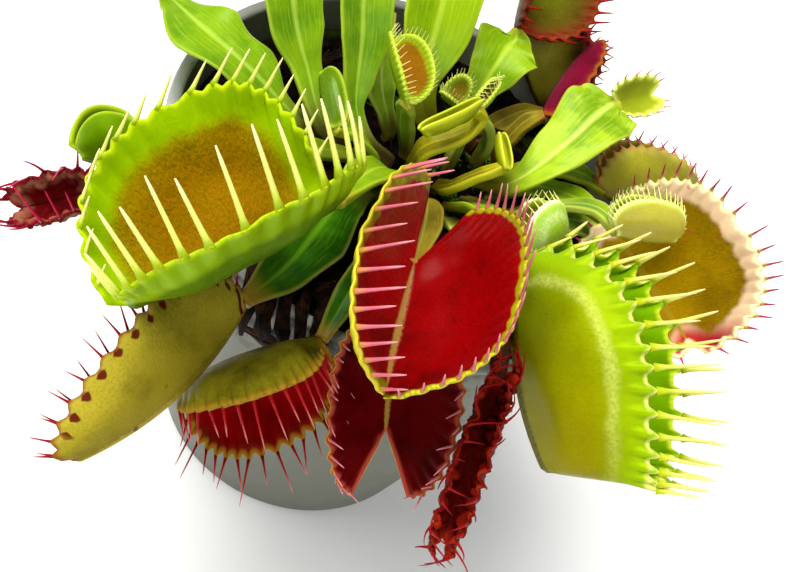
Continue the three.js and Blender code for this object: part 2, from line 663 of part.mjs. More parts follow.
/** The peat that fills the pot, with a hole for each root. */
function peatSolid() {
  const foot = FLOOR + GAP;
  const edge = insideRadius(PEAT_EDGE) - GAP;
  const rings = [
    circle(insideRadius(foot) - GAP, foot, PEAT_SECTORS),
    circle(edge, PEAT_EDGE - 0.5, PEAT_SECTORS),
  ];
  for (let k = 0; k <= PEAT_RINGS; k += 1) {
    const r = lerp(edge - 0.8, 1.5, k / PEAT_RINGS);
    rings.push(circle(r, 0, PEAT_SECTORS).map((p) => p.setZ(peatHeight(p.x, p.y))));
  }
  let peat = loft(rings);
  for (const leaf of LEAVES) {
    const [x, y, z] = leaf.stalk[0];
    const depth = z - PEG_RISE - PEG_DEPTH - GAP;
    peat = peat.subtract(bore(x, y, HOLE_RADIUS, depth, z + 5, HOLE_SIDES));
  }
  return peat;
}

/** A named mesh with its own material from a finished body. */
function node(name, body, color, roughness) {
  const mesh = body.getMesh();
  const geometry = new THREE.BufferGeometry();
  const stride = mesh.numProp;
  const xyz = new Float32Array((mesh.vertProperties.length / stride) * 3);
  for (let i = 0; i * stride < mesh.vertProperties.length; i += 1) {
    for (let k = 0; k < 3; k += 1) xyz[3 * i + k] = mesh.vertProperties[i * stride + k];
  }
  geometry.setAttribute('position', new THREE.BufferAttribute(xyz, 3));
  geometry.setIndex(new THREE.BufferAttribute(new Uint32Array(mesh.triVerts), 1));
  geometry.computeVertexNormals();
  const material = new THREE.MeshStandardMaterial({ color, roughness, metalness: 0 });
  const made = new THREE.Mesh(geometry, material);
  made.name = name;
  return made;
}

const plant = new THREE.Group();
plant.name = 'potted_flytrap';
plant.add(node('pot', potSolid(), 0xb4b6b8, 0.5));
plant.add(node('peat', peatSolid(), 0x1c1512, 0.95));
for (const leaf of LEAVES) {
  plant.add(node(leaf.name, leafSolid(leaf), leaf.color, 0.45));
}

export default plant;
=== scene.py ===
"""A potted venus flytrap: winged stalks, toothed traps, peat, litter and a grey nursery pot."""
import logging
import math
import random
from dataclasses import dataclass, field, replace
from enum import IntEnum

import bmesh
import bpy
import numpy as np
from mathutils import Matrix, Vector, noise


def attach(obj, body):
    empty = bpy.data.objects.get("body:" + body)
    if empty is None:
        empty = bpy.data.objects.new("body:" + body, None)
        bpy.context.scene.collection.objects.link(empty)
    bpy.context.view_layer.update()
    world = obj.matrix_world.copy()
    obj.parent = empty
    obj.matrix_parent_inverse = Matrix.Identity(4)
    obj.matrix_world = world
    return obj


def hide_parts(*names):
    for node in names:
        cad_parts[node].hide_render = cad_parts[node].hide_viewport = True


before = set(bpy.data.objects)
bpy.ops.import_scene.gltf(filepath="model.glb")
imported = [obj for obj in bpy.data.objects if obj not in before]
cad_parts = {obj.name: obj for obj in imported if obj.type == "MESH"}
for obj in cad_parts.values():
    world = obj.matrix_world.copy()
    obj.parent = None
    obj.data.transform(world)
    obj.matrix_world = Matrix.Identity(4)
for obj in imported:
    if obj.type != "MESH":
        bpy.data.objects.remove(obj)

Point = tuple[float, float, float]
Colour = tuple[float, float, float, float]
Pair = tuple[np.ndarray, np.ndarray]
Socket = bpy.types.NodeSocket
Material = bpy.types.Material

# Real sizes, in millimetres.
MM = 0.001
POT_HEIGHT = 72.0
RIM_RADIUS = 40.0
BASE_RADIUS = 28.0
WALL = 1.2
FLOOR = 1.8
LIP_HEIGHT = 6.0
LIP_DEPTH = 1.0
PEAT_EDGE = 66.0
PEAT_CROWN = 68.5
PEAT_LUMP = 0.5
PEAT_GAP = 0.3
SOFT_DEPTH = 1.2 * MM
ROOT_HEIGHT = 70.0
ROOT_HALF = 1.2
BURIED = 5.0
MIDRIB = 0.85
NECK = 0.95
WING_EDGE = 0.3
KEEL, KEEL_HALF = 0.55, 0.9
GROOVE, GROOVE_HALF = 0.18, 0.5
RIDGE, RIDGE_HALF = 0.45, 0.9
BEAD = 0.12
LOBE_THICKEST = 0.34
TOOTH_SUNK = 0.5
TOOTH_FLARE = 0.6
TRIGGER_LENGTH = 2.0
TRIGGER_RADIUS = 0.08
FIBRE_RADIUS = 0.08

# How finely the shapes are cut.
TUBE_SIDES = 6
TUBE_RINGS = 6
SPAN_STEPS = 14
WING_COLUMNS = 17
TOOTH_STEPS = 8
TOOTH_COLUMNS = 8
ROW_CROWDING = 1.35

# Shares of the way from a lobe's hinge to its margin, and how its swellings are spaced.
SCALLOPS_FROM = 0.78
RIBS_FROM, RIBS_FULL = 0.6, 0.95
BEAD_AT, BEAD_HALF = 0.93, 0.05
ARCH_LIMIT = 1.6
LUMPS_PER_MM = 0.16
WRINKLES_PER_LUMP = 4.5

# Starts of the random draws.
PEAT_SEED = 4
OTHER_LOBE_SEED = 50

# Map values of the middle of a lobe: along, across, and millimetres from the edge.
DEEP_INSIDE = (0.5, 0.5, 6.0)

log = logging.getLogger("flytrap")


def tint(code: str) -> Colour:
    """A linear colour from a screen colour.

    Args:
        code: Six hexadecimal digits, red first.

    Returns:
        Linear red, green, blue and an alpha of one.
    """
    parts = [int(code[k:k + 2], 16) / 255 for k in (0, 2, 4)]
    line = [c / 12.92 if c <= 0.04045 else ((c + 0.055) / 1.055) ** 2.4 for c in parts]
    return (line[0], line[1], line[2], 1.0)


def shade(code: str, share: float) -> Colour:
    """A screen colour with its light multiplied by a share."""
    return (*(c * share for c in tint(code)[:3]), 1.0)


def hue(code: str) -> Colour:
    """The same colour at its brightest, for tinting a reflection."""
    return shade(code, 1 / max(tint(code)[:3]))


def unit(v: np.ndarray) -> np.ndarray:
    """The same direction with a length of one, along the last axis."""
    return v / np.maximum(np.linalg.norm(v, axis=-1, keepdims=True), 1e-9)


def ease(low: float, high: float, x: np.ndarray) -> np.ndarray:
    """A smooth step from nought at low to one at high."""
    t = np.clip((x - low) / (high - low), 0, 1)
    return t * t * (3 - 2 * t)


class Slot(IntEnum):
    """Which of a leaf's materials a face takes."""

    STALK = 0
    INSIDE = 1
    BACK = 2
    TOOTH = 3


class Litter(IntEnum):
    """Which of the peat's materials a face takes."""

    PEAT = 0
    DEAD = 1
    MOSS = 2


class Bench:
    """Lays the nodes of one material. What adds a node returns its result."""

    def __init__(self, name: str) -> None:
        """Starts a material of this name."""
        self.material = bpy.data.materials.new(name)
        self.material.use_nodes = True

    def feed(self, socket: Socket, value: object) -> None:
        """Links a socket to another one, or sets its value.

        Args:
            socket: What is fed.
            value: Another socket, a number or a colour.
        """
        if isinstance(value, Socket):
            self.material.node_tree.links.new(value, socket)
        else:
            socket.default_value = value

    def add(self, kind: str, feeds: dict[str | int, object], out: str | int = 0,
            **settings: object) -> Socket:
        """Adds a node.

        Args:
            kind: The node's type without its prefix.
            feeds: What its sockets take, by name or number.
            out: Which output is wanted.
            settings: Properties of the node.

        Returns:
            The output.
        """
        node = self.material.node_tree.nodes.new("ShaderNode" + kind)
        for key, value in settings.items():
            setattr(node, key, value)
        for key, value in feeds.items():
            self.feed(node.inputs[key], value)
        return node.outputs[out]

    def math(self, operation: str, *values: object) -> Socket:
        """A sum on numbers."""
        return self.add("Math", dict(enumerate(values)), operation=operation)

    def times(self, first: object, second: object) -> Socket:
        """The product of two numbers."""
        return self.math("MULTIPLY", first, second)

    def swing(self, value: object, width: float) -> Socket:
        """A noise value turned into one that swings about nought over that width."""
        return self.times(self.math("SUBTRACT", value, 0.5), width)

    def step(self, value: object, low: float, high: float, to: tuple[float, float] = (0.0, 1.0)) -> Socket:
        """A smooth step between two values, from to[0] at low to to[1] at high."""
        ends = {"Value": value, "From Min": low, "From Max": high, "To Min": to[0], "To Max": to[1]}
        return self.add("MapRange", ends, "Result", interpolation_type="SMOOTHSTEP")

    def mix(self, share: object, first: object, second: object, blend: str = "MIX") -> Socket:
        """Two colours mixed, with that share of the second."""
        return self.add("Mix", {0: share, 6: first, 7: second}, 2, data_type="RGBA", blend_type=blend,
                        clamp_factor=True)

    def coat(self, share: object, under: object, code: str) -> Socket:
        """A screen colour laid over another colour where the share is high."""
        return self.mix(share, under, tint(code))

    def noise(self, where: object, scale: float, detail: float = 2.0, rough: float = 0.5) -> Socket:
        """Soft noise between nought and one, with so many lumps per unit."""
        fed = {"Vector": where, "Scale": scale, "Detail": detail, "Roughness": rough}
        return self.add("TexNoise", fed, "Fac")

    def cells(self, where: object, scale: float) -> Socket:
        """Distance from the middles of a pattern of cells."""
        return self.add("TexVoronoi", {"Vector": where, "Scale": scale}, "Distance")

    def bump(self, height: object, strength: float, depth: float, under: Socket | None = None) -> Socket:
        """A bump of a real depth in metres, which may lie on another one."""
        lower = {} if under is None else {"Normal": under}
        return self.add("Bump", {"Height": height, "Strength": strength, "Distance": depth} | lower)

    def split(self, vector: Socket) -> list[Socket]:
        """The three parts of a vector."""
        return list(self.add("SeparateXYZ", {0: vector}).node.outputs)

    def place(self) -> list[Socket]:
        """The piece's own map: along, across, and millimetres from the edge."""
        return self.split(self.add("Attribute", {}, "Vector", attribute_name="place"))

    def where(self) -> Socket:
        """The object's own coordinates."""
        return self.add("TexCoord", {}, "Object")

    def finish(self, colour: object, rough: object, normal: Socket | None = None, soft: float = 0.0,
               **sockets: object) -> Material:
        """Feeds the shader.

        Args:
            colour: Base colour.
            rough: Roughness.
            normal: The bumped normal.
            soft: Light that passes under the surface.
            sockets: Other sockets by name, with _ for a space.

        Returns:
            The material.
        """
        fed = {"Base Color": colour, "Roughness": rough}
        if normal is not None:
            fed["Normal"] = normal
        if soft:
            fed |= {"Subsurface Weight": soft, "Subsurface Radius": (1.0, 0.9, 0.3),
                    "Subsurface Scale": SOFT_DEPTH}
        fed |= {key.replace("_", " "): value for key, value in sockets.items()}
        shader = self.material.node_tree.nodes["Principled BSDF"]
        for key, value in fed.items():
            self.feed(shader.inputs[key], value)
        return self.material


@dataclass(frozen=True)
class LobeSkin:
    """One side of a trap's lobes.

    Attributes:
        heart: Colour of the deep middle.
        field: Colour round the middle.
        band: Colour of the strip along the margin.
        rim: Colour of about the last half millimetre.
        rib: Colour along the hinge.
        band_mm: Width of the strip.
        blur_mm: How softly the strip ends.
        heart_at: How far from the margin the heart begins, in millimetres.
        grain: Depth of the radiating grain.
        mottle: Strength of uneven colour.
        rough: Roughness.
        velvet: Sheen.
        freckle: Colour of small spots, if any.
        shine: How much it mirrors.
        gloss: How wet it looks.
        tail: Colour that the field takes towards the hinge's far end, if any.
        notch: Colour of a row of hollows along the margin, if any.
        glint: How far from the margin a painted highlight runs as a pale lengthwise line in the rim colour,
            in millimetres, if any.
        last: Colour of the strip at the hinge's far end, if any.
    """

    heart: str
    field: str
    band: str
    rim: str
    rib: str
    band_mm: float = 3.0
    blur_mm: float = 1.0
    heart_at: float = 7.0
    grain: float = 0.5
    mottle: float = 0.35
    rough: float = 0.38
    velvet: float = 0.0
    freckle: str = ""
    shine: float = 0.15
    gloss: float = 0.0
    tail: str = ""
    notch: str = ""
    glint: float = 0.0
    last: str = ""

    # Sizes that every lobe shares, in millimetres where nothing else is said.
    HEART_BLUR = 3.0
    GLINT_HALF = 1.3
    NOTCH_IN = 1.2
    NOTCH_HALF = 0.7
    NOTCHES = 16
    WANDER = 1.6

    def make(self, name: str) -> Material:
        """Lays the material.

        Args:
            name: Its name.

        Returns:
            The material.
        """
        bench = Bench(name)
        along, across, edge = bench.place()
        where = bench.where()
        side = bench.math("ABSOLUTE", across)
        fine = bench.noise(where, 2200.0, 2.0, 0.6)
        reach = bench.math("ADD", edge, bench.swing(bench.noise(where, 260.0, 3.0), self.WANDER))
        strip = bench.step(reach, self.band_mm - self.blur_mm, self.band_mm + self.blur_mm, (1.0, 0.0))
        radial = {0: bench.times(along, 150.0), 1: bench.times(side, 26.0), 2: across}
        grain = bench.noise(bench.add("CombineXYZ", radial), 1.0, 2.0, 0.6)

        inner = bench.step(reach, self.heart_at - self.HEART_BLUR, self.heart_at + self.HEART_BLUR)
        colour = bench.mix(inner, tint(self.field), tint(self.heart))
        if self.tail:
            colour = bench.coat(bench.step(along, 0.25, 0.95), colour, self.tail)
        dark = bench.step(grain, 0.35, 0.75, (0.0, 0.4 + 0.3 * self.grain))
        colour = bench.mix(dark, colour, shade(self.field, 0.6))
        band = tint(self.band)
        if self.last:
            band = bench.coat(bench.step(along, 0.8, 0.96), band, self.last)
        colour = bench.mix(strip, colour, band)
        patch = bench.noise(where, 110.0, 4.0, 0.55)
        colour = bench.mix(bench.step(patch, 0.45, 0.72, (0.0, self.mottle)), colour, shade(self.field, 0.45),
                           "MULTIPLY")
        colour = bench.mix(bench.step(patch, 0.22, 0.45, (self.mottle * 0.7, 0.0)), colour,
                           (1.0, 1.0, 0.75, 1.0), "SOFT_LIGHT")
        colour = self.mark(bench, colour, (along, reach, fine))
        hinge = bench.math("ADD", side, bench.swing(fine, 0.05))
        colour = bench.coat(bench.step(hinge, 0.02, 0.055, (1.0, 0.0)), colour, self.rib)
        colour = bench.coat(bench.step(edge, 0.15, 0.9, (1.0, 0.0)), colour, self.rim)
        if self.freckle:
            spots = bench.step(bench.cells(where, 420.0), 0.12, 0.22, (1.0, 0.0))
            some = bench.step(bench.noise(where, 180.0), 0.5, 0.62)
            colour = bench.coat(bench.times(spots, some), colour, self.freckle)

        height = bench.math("ADD", bench.times(grain, 1.6), bench.times(fine, 0.5))
        height = bench.times(height, bench.math("SUBTRACT", 1.0, bench.times(strip, 0.75)))
        normal = bench.bump(height, 0.35 + 0.4 * self.grain, 0.00026 * self.grain)
        normal = bench.bump(bench.noise(where, 300.0, 2.0), 0.3 * min(1.0, self.grain + 0.1), 0.0002, normal)
        rough = bench.step(fine, 0.2, 0.8, (self.rough - 0.08, self.rough + 0.14))
        extra = {"Specular_IOR_Level": self.shine, "Specular_Tint": hue(self.field)}
        if self.gloss:
            extra.update(Coat_Weight=self.gloss, Coat_Roughness=0.2)
        if self.velvet:
            extra.update(Sheen_Weight=self.velvet, Sheen_Roughness=0.4, Sheen_Tint=tint("ff5a6a"))
        return bench.finish(colour, rough, normal, 0.05, **extra)

    def mark(self, bench: Bench, colour: Socket, at: tuple[Socket, Socket, Socket]) -> Socket:
        """Adds the painted highlight line and the row of hollows, where the skin has them.

        Args:
            bench: Where the nodes go.
            colour: The colour so far.
            at: The place along the hinge, the reach from the margin, and fine noise.

        Returns:
            The colour with its marks.
        """
        along, reach, fine = at
        # A painted highlight: a broken pale line in the rim colour at the glint distance from the margin.
        if self.glint:
            line = bench.times(bench.step(reach, self.glint - self.GLINT_HALF, self.glint),
                               bench.step(reach, self.glint, self.glint + self.GLINT_HALF, (1.0, 0.0)))
            broken = bench.step(fine, 0.3, 0.7, (0.15, 0.42))
            broken = bench.times(broken, bench.step(along, 0.5, 0.95, (1.0, 0.35)))
            colour = bench.coat(bench.times(line, broken), colour, self.rim)
        if self.notch:
            wave = bench.math("COSINE", bench.times(along, 2 * math.pi * self.NOTCHES))
            off = bench.math("ABSOLUTE", bench.math("SUBTRACT", reach, self.NOTCH_IN))
            depth = bench.math("SUBTRACT", bench.times(wave, self.NOTCH_HALF), off)
            spots = bench.times(bench.step(depth, -0.25, 0.15), bench.step(along, 0.86, 0.92, (1.0, 0.0)))
            colour = bench.coat(spots, colour, self.notch)
        return colour


@dataclass(frozen=True)
class StalkSkin:
    """The winged stalk.

    Attributes:
        base: Main green.
        light: Colour of the paler veins and patches.
        deep: Colour near the root and in the shade.
        edge: Colour of the thin edges.
        neck: Colour where the stalk narrows.
        root: Colour where it leaves the peat.
    """

    base: str
    light: str
    deep: str
    edge: str
    neck: str
    root: str

    def make(self, name: str) -> Material:
        """Lays the material.

        Args:
            name: Its name.

        Returns:
            The material.
        """
        bench = Bench(name)
        along, across, edge = bench.place()
        where = bench.where()
        side = bench.math("ABSOLUTE", across)
        veins = {0: bench.times(along, 7.0), 1: bench.times(across, 16.0), 2: 0.0}
        streak = bench.noise(bench.add("CombineXYZ", veins), 1.0, 3.0, 0.6)
        colour = bench.mix(bench.step(bench.noise(where, 130.0, 4.0, 0.6), 0.34, 0.66), tint(self.deep),
                           tint(self.base))
        for share, code in (
            (bench.step(streak, 0.45, 0.75, (0.0, 0.25)), self.light),
            (bench.step(side, 0.02, 0.14, (0.5, 0.0)), self.light),
            (bench.step(edge, 0.1, 0.7, (0.8, 0.0)), self.edge),
            (bench.step(along, 0.84, 0.99), self.neck),
            (bench.step(along, 0.05, 0.32, (1.0, 0.0)), self.root),
        ):
            colour = bench.coat(share, colour, code)
        fine = bench.noise(where, 1600.0, 3.0, 0.6)
        normal = bench.bump(bench.math("ADD", streak, bench.times(fine, 0.35)), 0.3, 0.0002)
        return bench.finish(colour, bench.step(fine, 0.2, 0.8, (0.3, 0.48)), normal, 0.03,
                            Specular_IOR_Level=0.2, Specular_Tint=hue(self.base), Coat_Weight=0.15,
                            Coat_Roughness=0.25)


@dataclass(frozen=True)
class ToothSkin:
    """The stiff hairs along a margin.

    Attributes:
        root: Colour at the margin.
        middle: Colour half way.
        tip: Colour of the end.
    """

    root: str
    middle: str
    tip: str

    def make(self, name: str) -> Material:
        """Lays the material.

        Args:
            name: Its name.

        Returns:
            The material.
        """
        bench = Bench(name)
        where = bench.where()
        reach = bench.math("ADD", bench.place()[0], bench.swing(bench.noise(where, 300.0), 0.3))
        colour = bench.mix(bench.step(reach, 0.02, 0.4), tint(self.root), tint(self.middle))
        colour = bench.coat(bench.step(reach, 0.5, 1.0), colour, self.tip)
        fine = bench.noise(where, 1800.0, 2.0)
        return bench.finish(colour, bench.step(fine, 0.2, 0.8, (0.3, 0.48)), bench.bump(fine, 0.3, 0.0001),
                            0.05, Specular_IOR_Level=0.2, Specular_Tint=hue(self.middle))


@dataclass(frozen=True)
class LeafFinish:
    """All the skins of one kind of leaf.

    Attributes:
        inside: The face that shuts on a fly.
        back: The outer face.
        tooth: The teeth.
        stalk: The stalk.
        slot: Name of its material slot; not used in this script.
    """

    inside: LobeSkin
    back: LobeSkin
    tooth: ToothSkin
    stalk: StalkSkin
    slot: str


STALK_LIME = StalkSkin("80a006", "b8d03c", "648a04", "a0b428", "96961e", "6c6412")
STALK_GREEN = StalkSkin("789c0c", "b4d050", "527e06", "94ac2c", "8a8228", "6e5c30")
STALK_DARK = StalkSkin("306406", "6a9818", "123c02", "8a8c30", "8c6c20", "3c3c10")
STALK_PALE = StalkSkin("88a41c", "c0d070", "5c8010", "b4c050", "a0a034", "6c6420")
STALK_TAN = StalkSkin("887a14", "aea23c", "5c5010", "a0842c", "8a6420", "502e14")
STALK_DEAD = StalkSkin("3c1c0c", "6a4020", "180a04", "301008", "300a06", "180c06")

TOOTH_CREAM = ToothSkin("a4bc0c", "d8dc70", "e6e09c")
TOOTH_YELLOW = ToothSkin("a8b414", "dcd870", "e6d890")
TOOTH_PINK = ToothSkin("b48430", "c46070", "dc8c94")
TOOTH_RED = ToothSkin("8a2010", "8c0c18", "58060e")
TOOTH_HANG = ToothSkin("6c0a08", "8a1418", "b86c68")
TOOTH_ROSE = ToothSkin("ccae64", "b43c58", "8a1430")
TOOTH_MAGENTA = ToothSkin("6c0c20", "b00c38", "c4184a")

LIME_OPEN = LeafFinish(
    LobeSkin("8c6202", "8c7602", "84aa02", "acc410", "808002", 4.0, 1.4, 6.5, 1.0, 0.3, 0.42),
    # Outer face: the dark green heart and field are painted shade of the lobe's underside.
    LobeSkin("4c6a08", "5c7e06", "84a606", "aac41c", "587408", 4.0, 1.0, 8.0, 0.3, 0.3, 0.36),
    TOOTH_CREAM, STALK_LIME, "leaf_lime")
LIME_ROUND = LeafFinish(
    LobeSkin("5c7c02", "608002", "6c8c04", "98b01c", "5c7404"),
    LobeSkin("587a00", "5e8200", "6a8e04", "98b414", "507004", 1.2, 0.6, 5.0, 0.25, 0.35, 0.32),
    TOOTH_CREAM, STALK_LIME, "leaf_lime")
WITHERED = LeafFinish(
    LobeSkin("380408", "6c0a0e", "a06a50", "78081c", "380806", 1.6, 1.0, 4.0, 1.0, 0.8, 0.6),
    LobeSkin("120602", "40100a", "98705c", "5c0c14", "200804", 1.5, 1.2, 3.5, 1.0, 0.9, 0.65),
    TOOTH_MAGENTA, STALK_DEAD, "leaf_brown")
KHAKI_SHUT = LeafFinish(
    LobeSkin("600808", "600808", "6c2010", "700a08", "5c3c0c"),
    LobeSkin("8a7c1c", "9c8e26", "a09430", "7c3c10", "a89430", 0.9, 0.5, 5.0, 0.6, 0.6, 0.45, 0.0, "583408",
             notch="500606"),
    TOOTH_HANG, STALK_DARK, "leaf_khaki")
LOW_RED = LeafFinish(
    LobeSkin("880408", "8c0408", "8a2410", "946818", "500406", 1.2, 0.8, 6.0, 0.5, 0.5, 0.32),
    LobeSkin("544a08", "6c640e", "6c540c", "8c6c1c", "3c2c08", 0.8, 0.4, 6.0, 0.5, 0.95, 0.45, 0.0, "2c1804",
             tail="746c14"),
    TOOTH_HANG, STALK_DARK, "leaf_khaki")
MAROON_OPEN = LeafFinish(
    LobeSkin("440104", "4e0204", "600608", "a04430", "9c7830", 0.8, 0.5, 6.0, 0.5, 0.7, 0.36),
    LobeSkin("5c180a", "6c200c", "80380c", "a8802a", "5c340c"),
    TOOTH_PINK, STALK_TAN, "leaf_maroon")
RED_OPEN = LeafFinish(
    LobeSkin("840002", "860103", "868408", "a8a01a", "8c6a30", 1.5, 0.35, 6.0, 0.7, 0.6, 0.34, 0.08,
             gloss=0.1),
    LobeSkin("8c8c0a", "94920c", "a89c14", "c8bc30", "847c10", 2.0, 1.0, 6.0, 0.4, 0.4),
    TOOTH_PINK, STALK_TAN, "leaf_red")
FRILLED = LeafFinish(
    LobeSkin("300402", "4c0806", "641208", "88200e", "3c0a06", 1.4, 0.8, 3.0, 1.0, 0.8, 0.5),
    LobeSkin("4c0c06", "5c0e06", "6c220c", "60080a", "6c3810", 1.2, 0.8, 3.0, 1.0, 0.9, 0.55),
    TOOTH_RED, STALK_DEAD, "leaf_brown")
LIME_SHUT = LeafFinish(
    LobeSkin("6c9402", "709802", "6c9a02", "b4c424", "607008"),
    # Outer face: the olive field, heart and tail darken it towards the hinge, partly its own colour, partly
    # painted shade; glint=4.6 paints a highlight line in the rim colour along the margin.
    LobeSkin("6e7202", "808a02", "84a406", "dcdc78", "5c5a02", 4.6, 3.2, 11.0, 0.12, 0.2, 0.3, shine=0.3,
             tail="867a02", glint=4.6),
    TOOTH_YELLOW, STALK_LIME, "leaf_lime")
OCHRE_OPEN = LeafFinish(
    LobeSkin("8a6c02", "8c6e04", "e4c49c", "f2e8b0", "8c7414", 2.7, 0.6, 7.0, 0.7, 0.4, 0.4, 0.0, "98481c",
             last="a01828"),
    LobeSkin("8c8418", "948a1c", "a89c34", "d0bc58", "7c7414"),
    TOOTH_ROSE, STALK_LIME, "leaf_ochre")
KHAKI_BACK = LeafFinish(
    LobeSkin("847408", "8a7c10", "9c841c", "bca43c", "7c740c"),
    LobeSkin("8a8420", "969028", "a89c40", "bc9048", "7c7418", 1.4, 0.8, 5.0, 0.4, 0.5, 0.42),
    TOOTH_ROSE, STALK_LIME, "leaf_khaki")
PALE_COMB = LeafFinish(
    LobeSkin("8c9818", "98a420", "b0bc34", "d0dc68", "8c941c", 1.0, 0.5, 3.5, 0.5, 0.3, 0.38),
    LobeSkin("b4a83c", "b8b040", "bcc848", "dce884", "9ca02c", 0.8, 0.5, 3.5, 0.2, 0.3, 0.32, shine=0.3,
             gloss=0.2),
    TOOTH_CREAM, STALK_PALE, "leaf_pale")
# Outer face: the near-white rim and the glint line 2.4 mm in are a painted highlight arc along the margin.
PALE_SMALL = replace(PALE_COMB, back=LobeSkin(
    "90b424", "98c02c", "b4d854", "f0f4c0", "84a828", 1.2, 0.7, 5.0, 0.2, 0.2, 0.28, shine=0.2, glint=2.4))
PALE_TIP = replace(PALE_COMB, tooth=TOOTH_PINK, slot="leaf_lime",
                   stalk=replace(STALK_LIME, base="9cba1c", light="d4e470"))
DARK_SHUT = LeafFinish(
    LobeSkin("200206", "300406", "500c0c", "742c1c", "200606"),
    # Outer face: heart and field are painted paler khaki, partly its own colour, partly painted light against
    # the shadow that the overhead trap casts.
    LobeSkin("b4ac34", "948424", "240208", "600a10", "4c300a", 3.0, 2.2, 6.0, 0.6, 0.6, 0.42),
    TOOTH_RED, STALK_TAN, "leaf_maroon")
DARK_POINTED = LeafFinish(
    LobeSkin("300206", "3c040a", "5c0a10", "7c3014", "30080a"),
    LobeSkin("640420", "700828", "782016", "a0581c", "500a14", 0.9, 0.6, 4.0, 0.6, 0.5, 0.4),
    TOOTH_RED, STALK_TAN, "leaf_maroon")
YOUNG_ORANGE = LeafFinish(
    LobeSkin("9c5c0c", "986c10", "8ca814", "b0c43c", "8c7418", 1.2, 0.5, 3.0, 0.8, 0.3, 0.4),
    LobeSkin("7c9c0c", "84a412", "90ac1c", "b0c43c", "749410"),
    TOOTH_CREAM, STALK_PALE, "leaf_ochre")
YOUNG_PALE = LeafFinish(
    LobeSkin("94641c", "8c801c", "8cac1c", "bccc4c", "80801c", 1.0, 0.5, 3.0, 0.6, 0.3, 0.4),
    LobeSkin("7c9c10", "84a418", "94b424", "bccc4c", "749410"),
    TOOTH_CREAM, STALK_PALE, "leaf_pale")
BUD_SHUT = LeafFinish(
    LobeSkin("547402", "587802", "688808", "90ac20", "506c04"),
    LobeSkin("4c7000", "587800", "6c9004", "a8c038", "606808", 0.8, 0.5, 3.0, 0.2, 0.3, 0.28, shine=0.2,
             gloss=0.3),
    TOOTH_CREAM, STALK_LIME, "leaf_lime")
LOOPED = LeafFinish(
    LobeSkin("8c9c10", "94a414", "a8b01c", "bcc430", "848c10"),
    LobeSkin("94a00e", "9ca810", "acb41c", "c4c830", "8c880e", 0.6, 0.4, 2.0, 0.3, 0.3, 0.3, shine=0.2,
             gloss=0.2),
    TOOTH_CREAM, StalkSkin("9c980c", "c4c030", "6c5c06", "b4b020", "a8a418", "6c5c0e"), "leaf_lime")
TALL_GREEN = LeafFinish(
    LobeSkin("8c6c0e", "8c7c10", "80a010", "acc034", "748410", 2.0, 0.8, 5.0),
    LobeSkin("70940c", "769a10", "80a416", "acc034", "6c840c"),
    TOOTH_CREAM, STALK_GREEN, "leaf_green")
TALL_LIME = replace(TALL_GREEN, stalk=STALK_LIME, slot="leaf_lime")
NARROW = replace(TALL_GREEN, stalk=STALK_PALE)
OVERHEAD = LeafFinish(
    LobeSkin("66700c", "54480c", "641c0e", "782814", "4c200a", 2.4, 1.6, 6.0, 0.7, 0.5, 0.4),
    LobeSkin("6c7c08", "64700a", "60200e", "480808", "60600c", 2.6, 1.4, 5.0, 0.5, 0.5, 0.42),
    TOOTH_RED, STALK_LIME, "leaf_lime")


class Curve:
    """A smooth curve through points, with its knots spaced by root distance."""

    def __init__(self, points: list[Point]) -> None:
        """Keeps the points, in millimetres."""
        self.points = np.array(points, float)

    def at(self, t: float) -> np.ndarray:
        """The point at a share of the way, counted by points.

        Args:
            t: Nought at the first point, one at the last.

        Returns:
            The point in millimetres.
        """
        pts = self.points
        last = len(pts) - 1
        k = min(int(t * last), last - 1)
        f = t * last - k
        p1, p2 = pts[k], pts[k + 1]
        p0 = pts[k - 1] if k > 0 else 2 * p1 - p2
        p3 = pts[k + 2] if k + 2 <= last else 2 * p2 - p1
        d0, d1, d2 = (max(np.linalg.norm(b - a), 1e-6) ** 0.5 for a, b in ((p0, p1), (p1, p2), (p2, p3)))
        m1 = ((p1 - p0) / d0 - (p2 - p0) / (d0 + d1) + (p2 - p1) / d1) * d1
        m2 = ((p2 - p1) / d1 - (p3 - p1) / (d1 + d2) + (p3 - p2) / d2) * d1
        c2 = -3 * p1 + 3 * p2 - 2 * m1 - m2
        c3 = 2 * p1 - 2 * p2 + m1 + m2
        return p1 + m1 * f + c2 * f * f + c3 * f ** 3

    def heading(self, t: float) -> np.ndarray:
        """The direction at a share of the way."""
        low, high = max(0.0, t - 1e-3), min(1.0, t + 1e-3)
        return unit(self.at(high) - self.at(low))


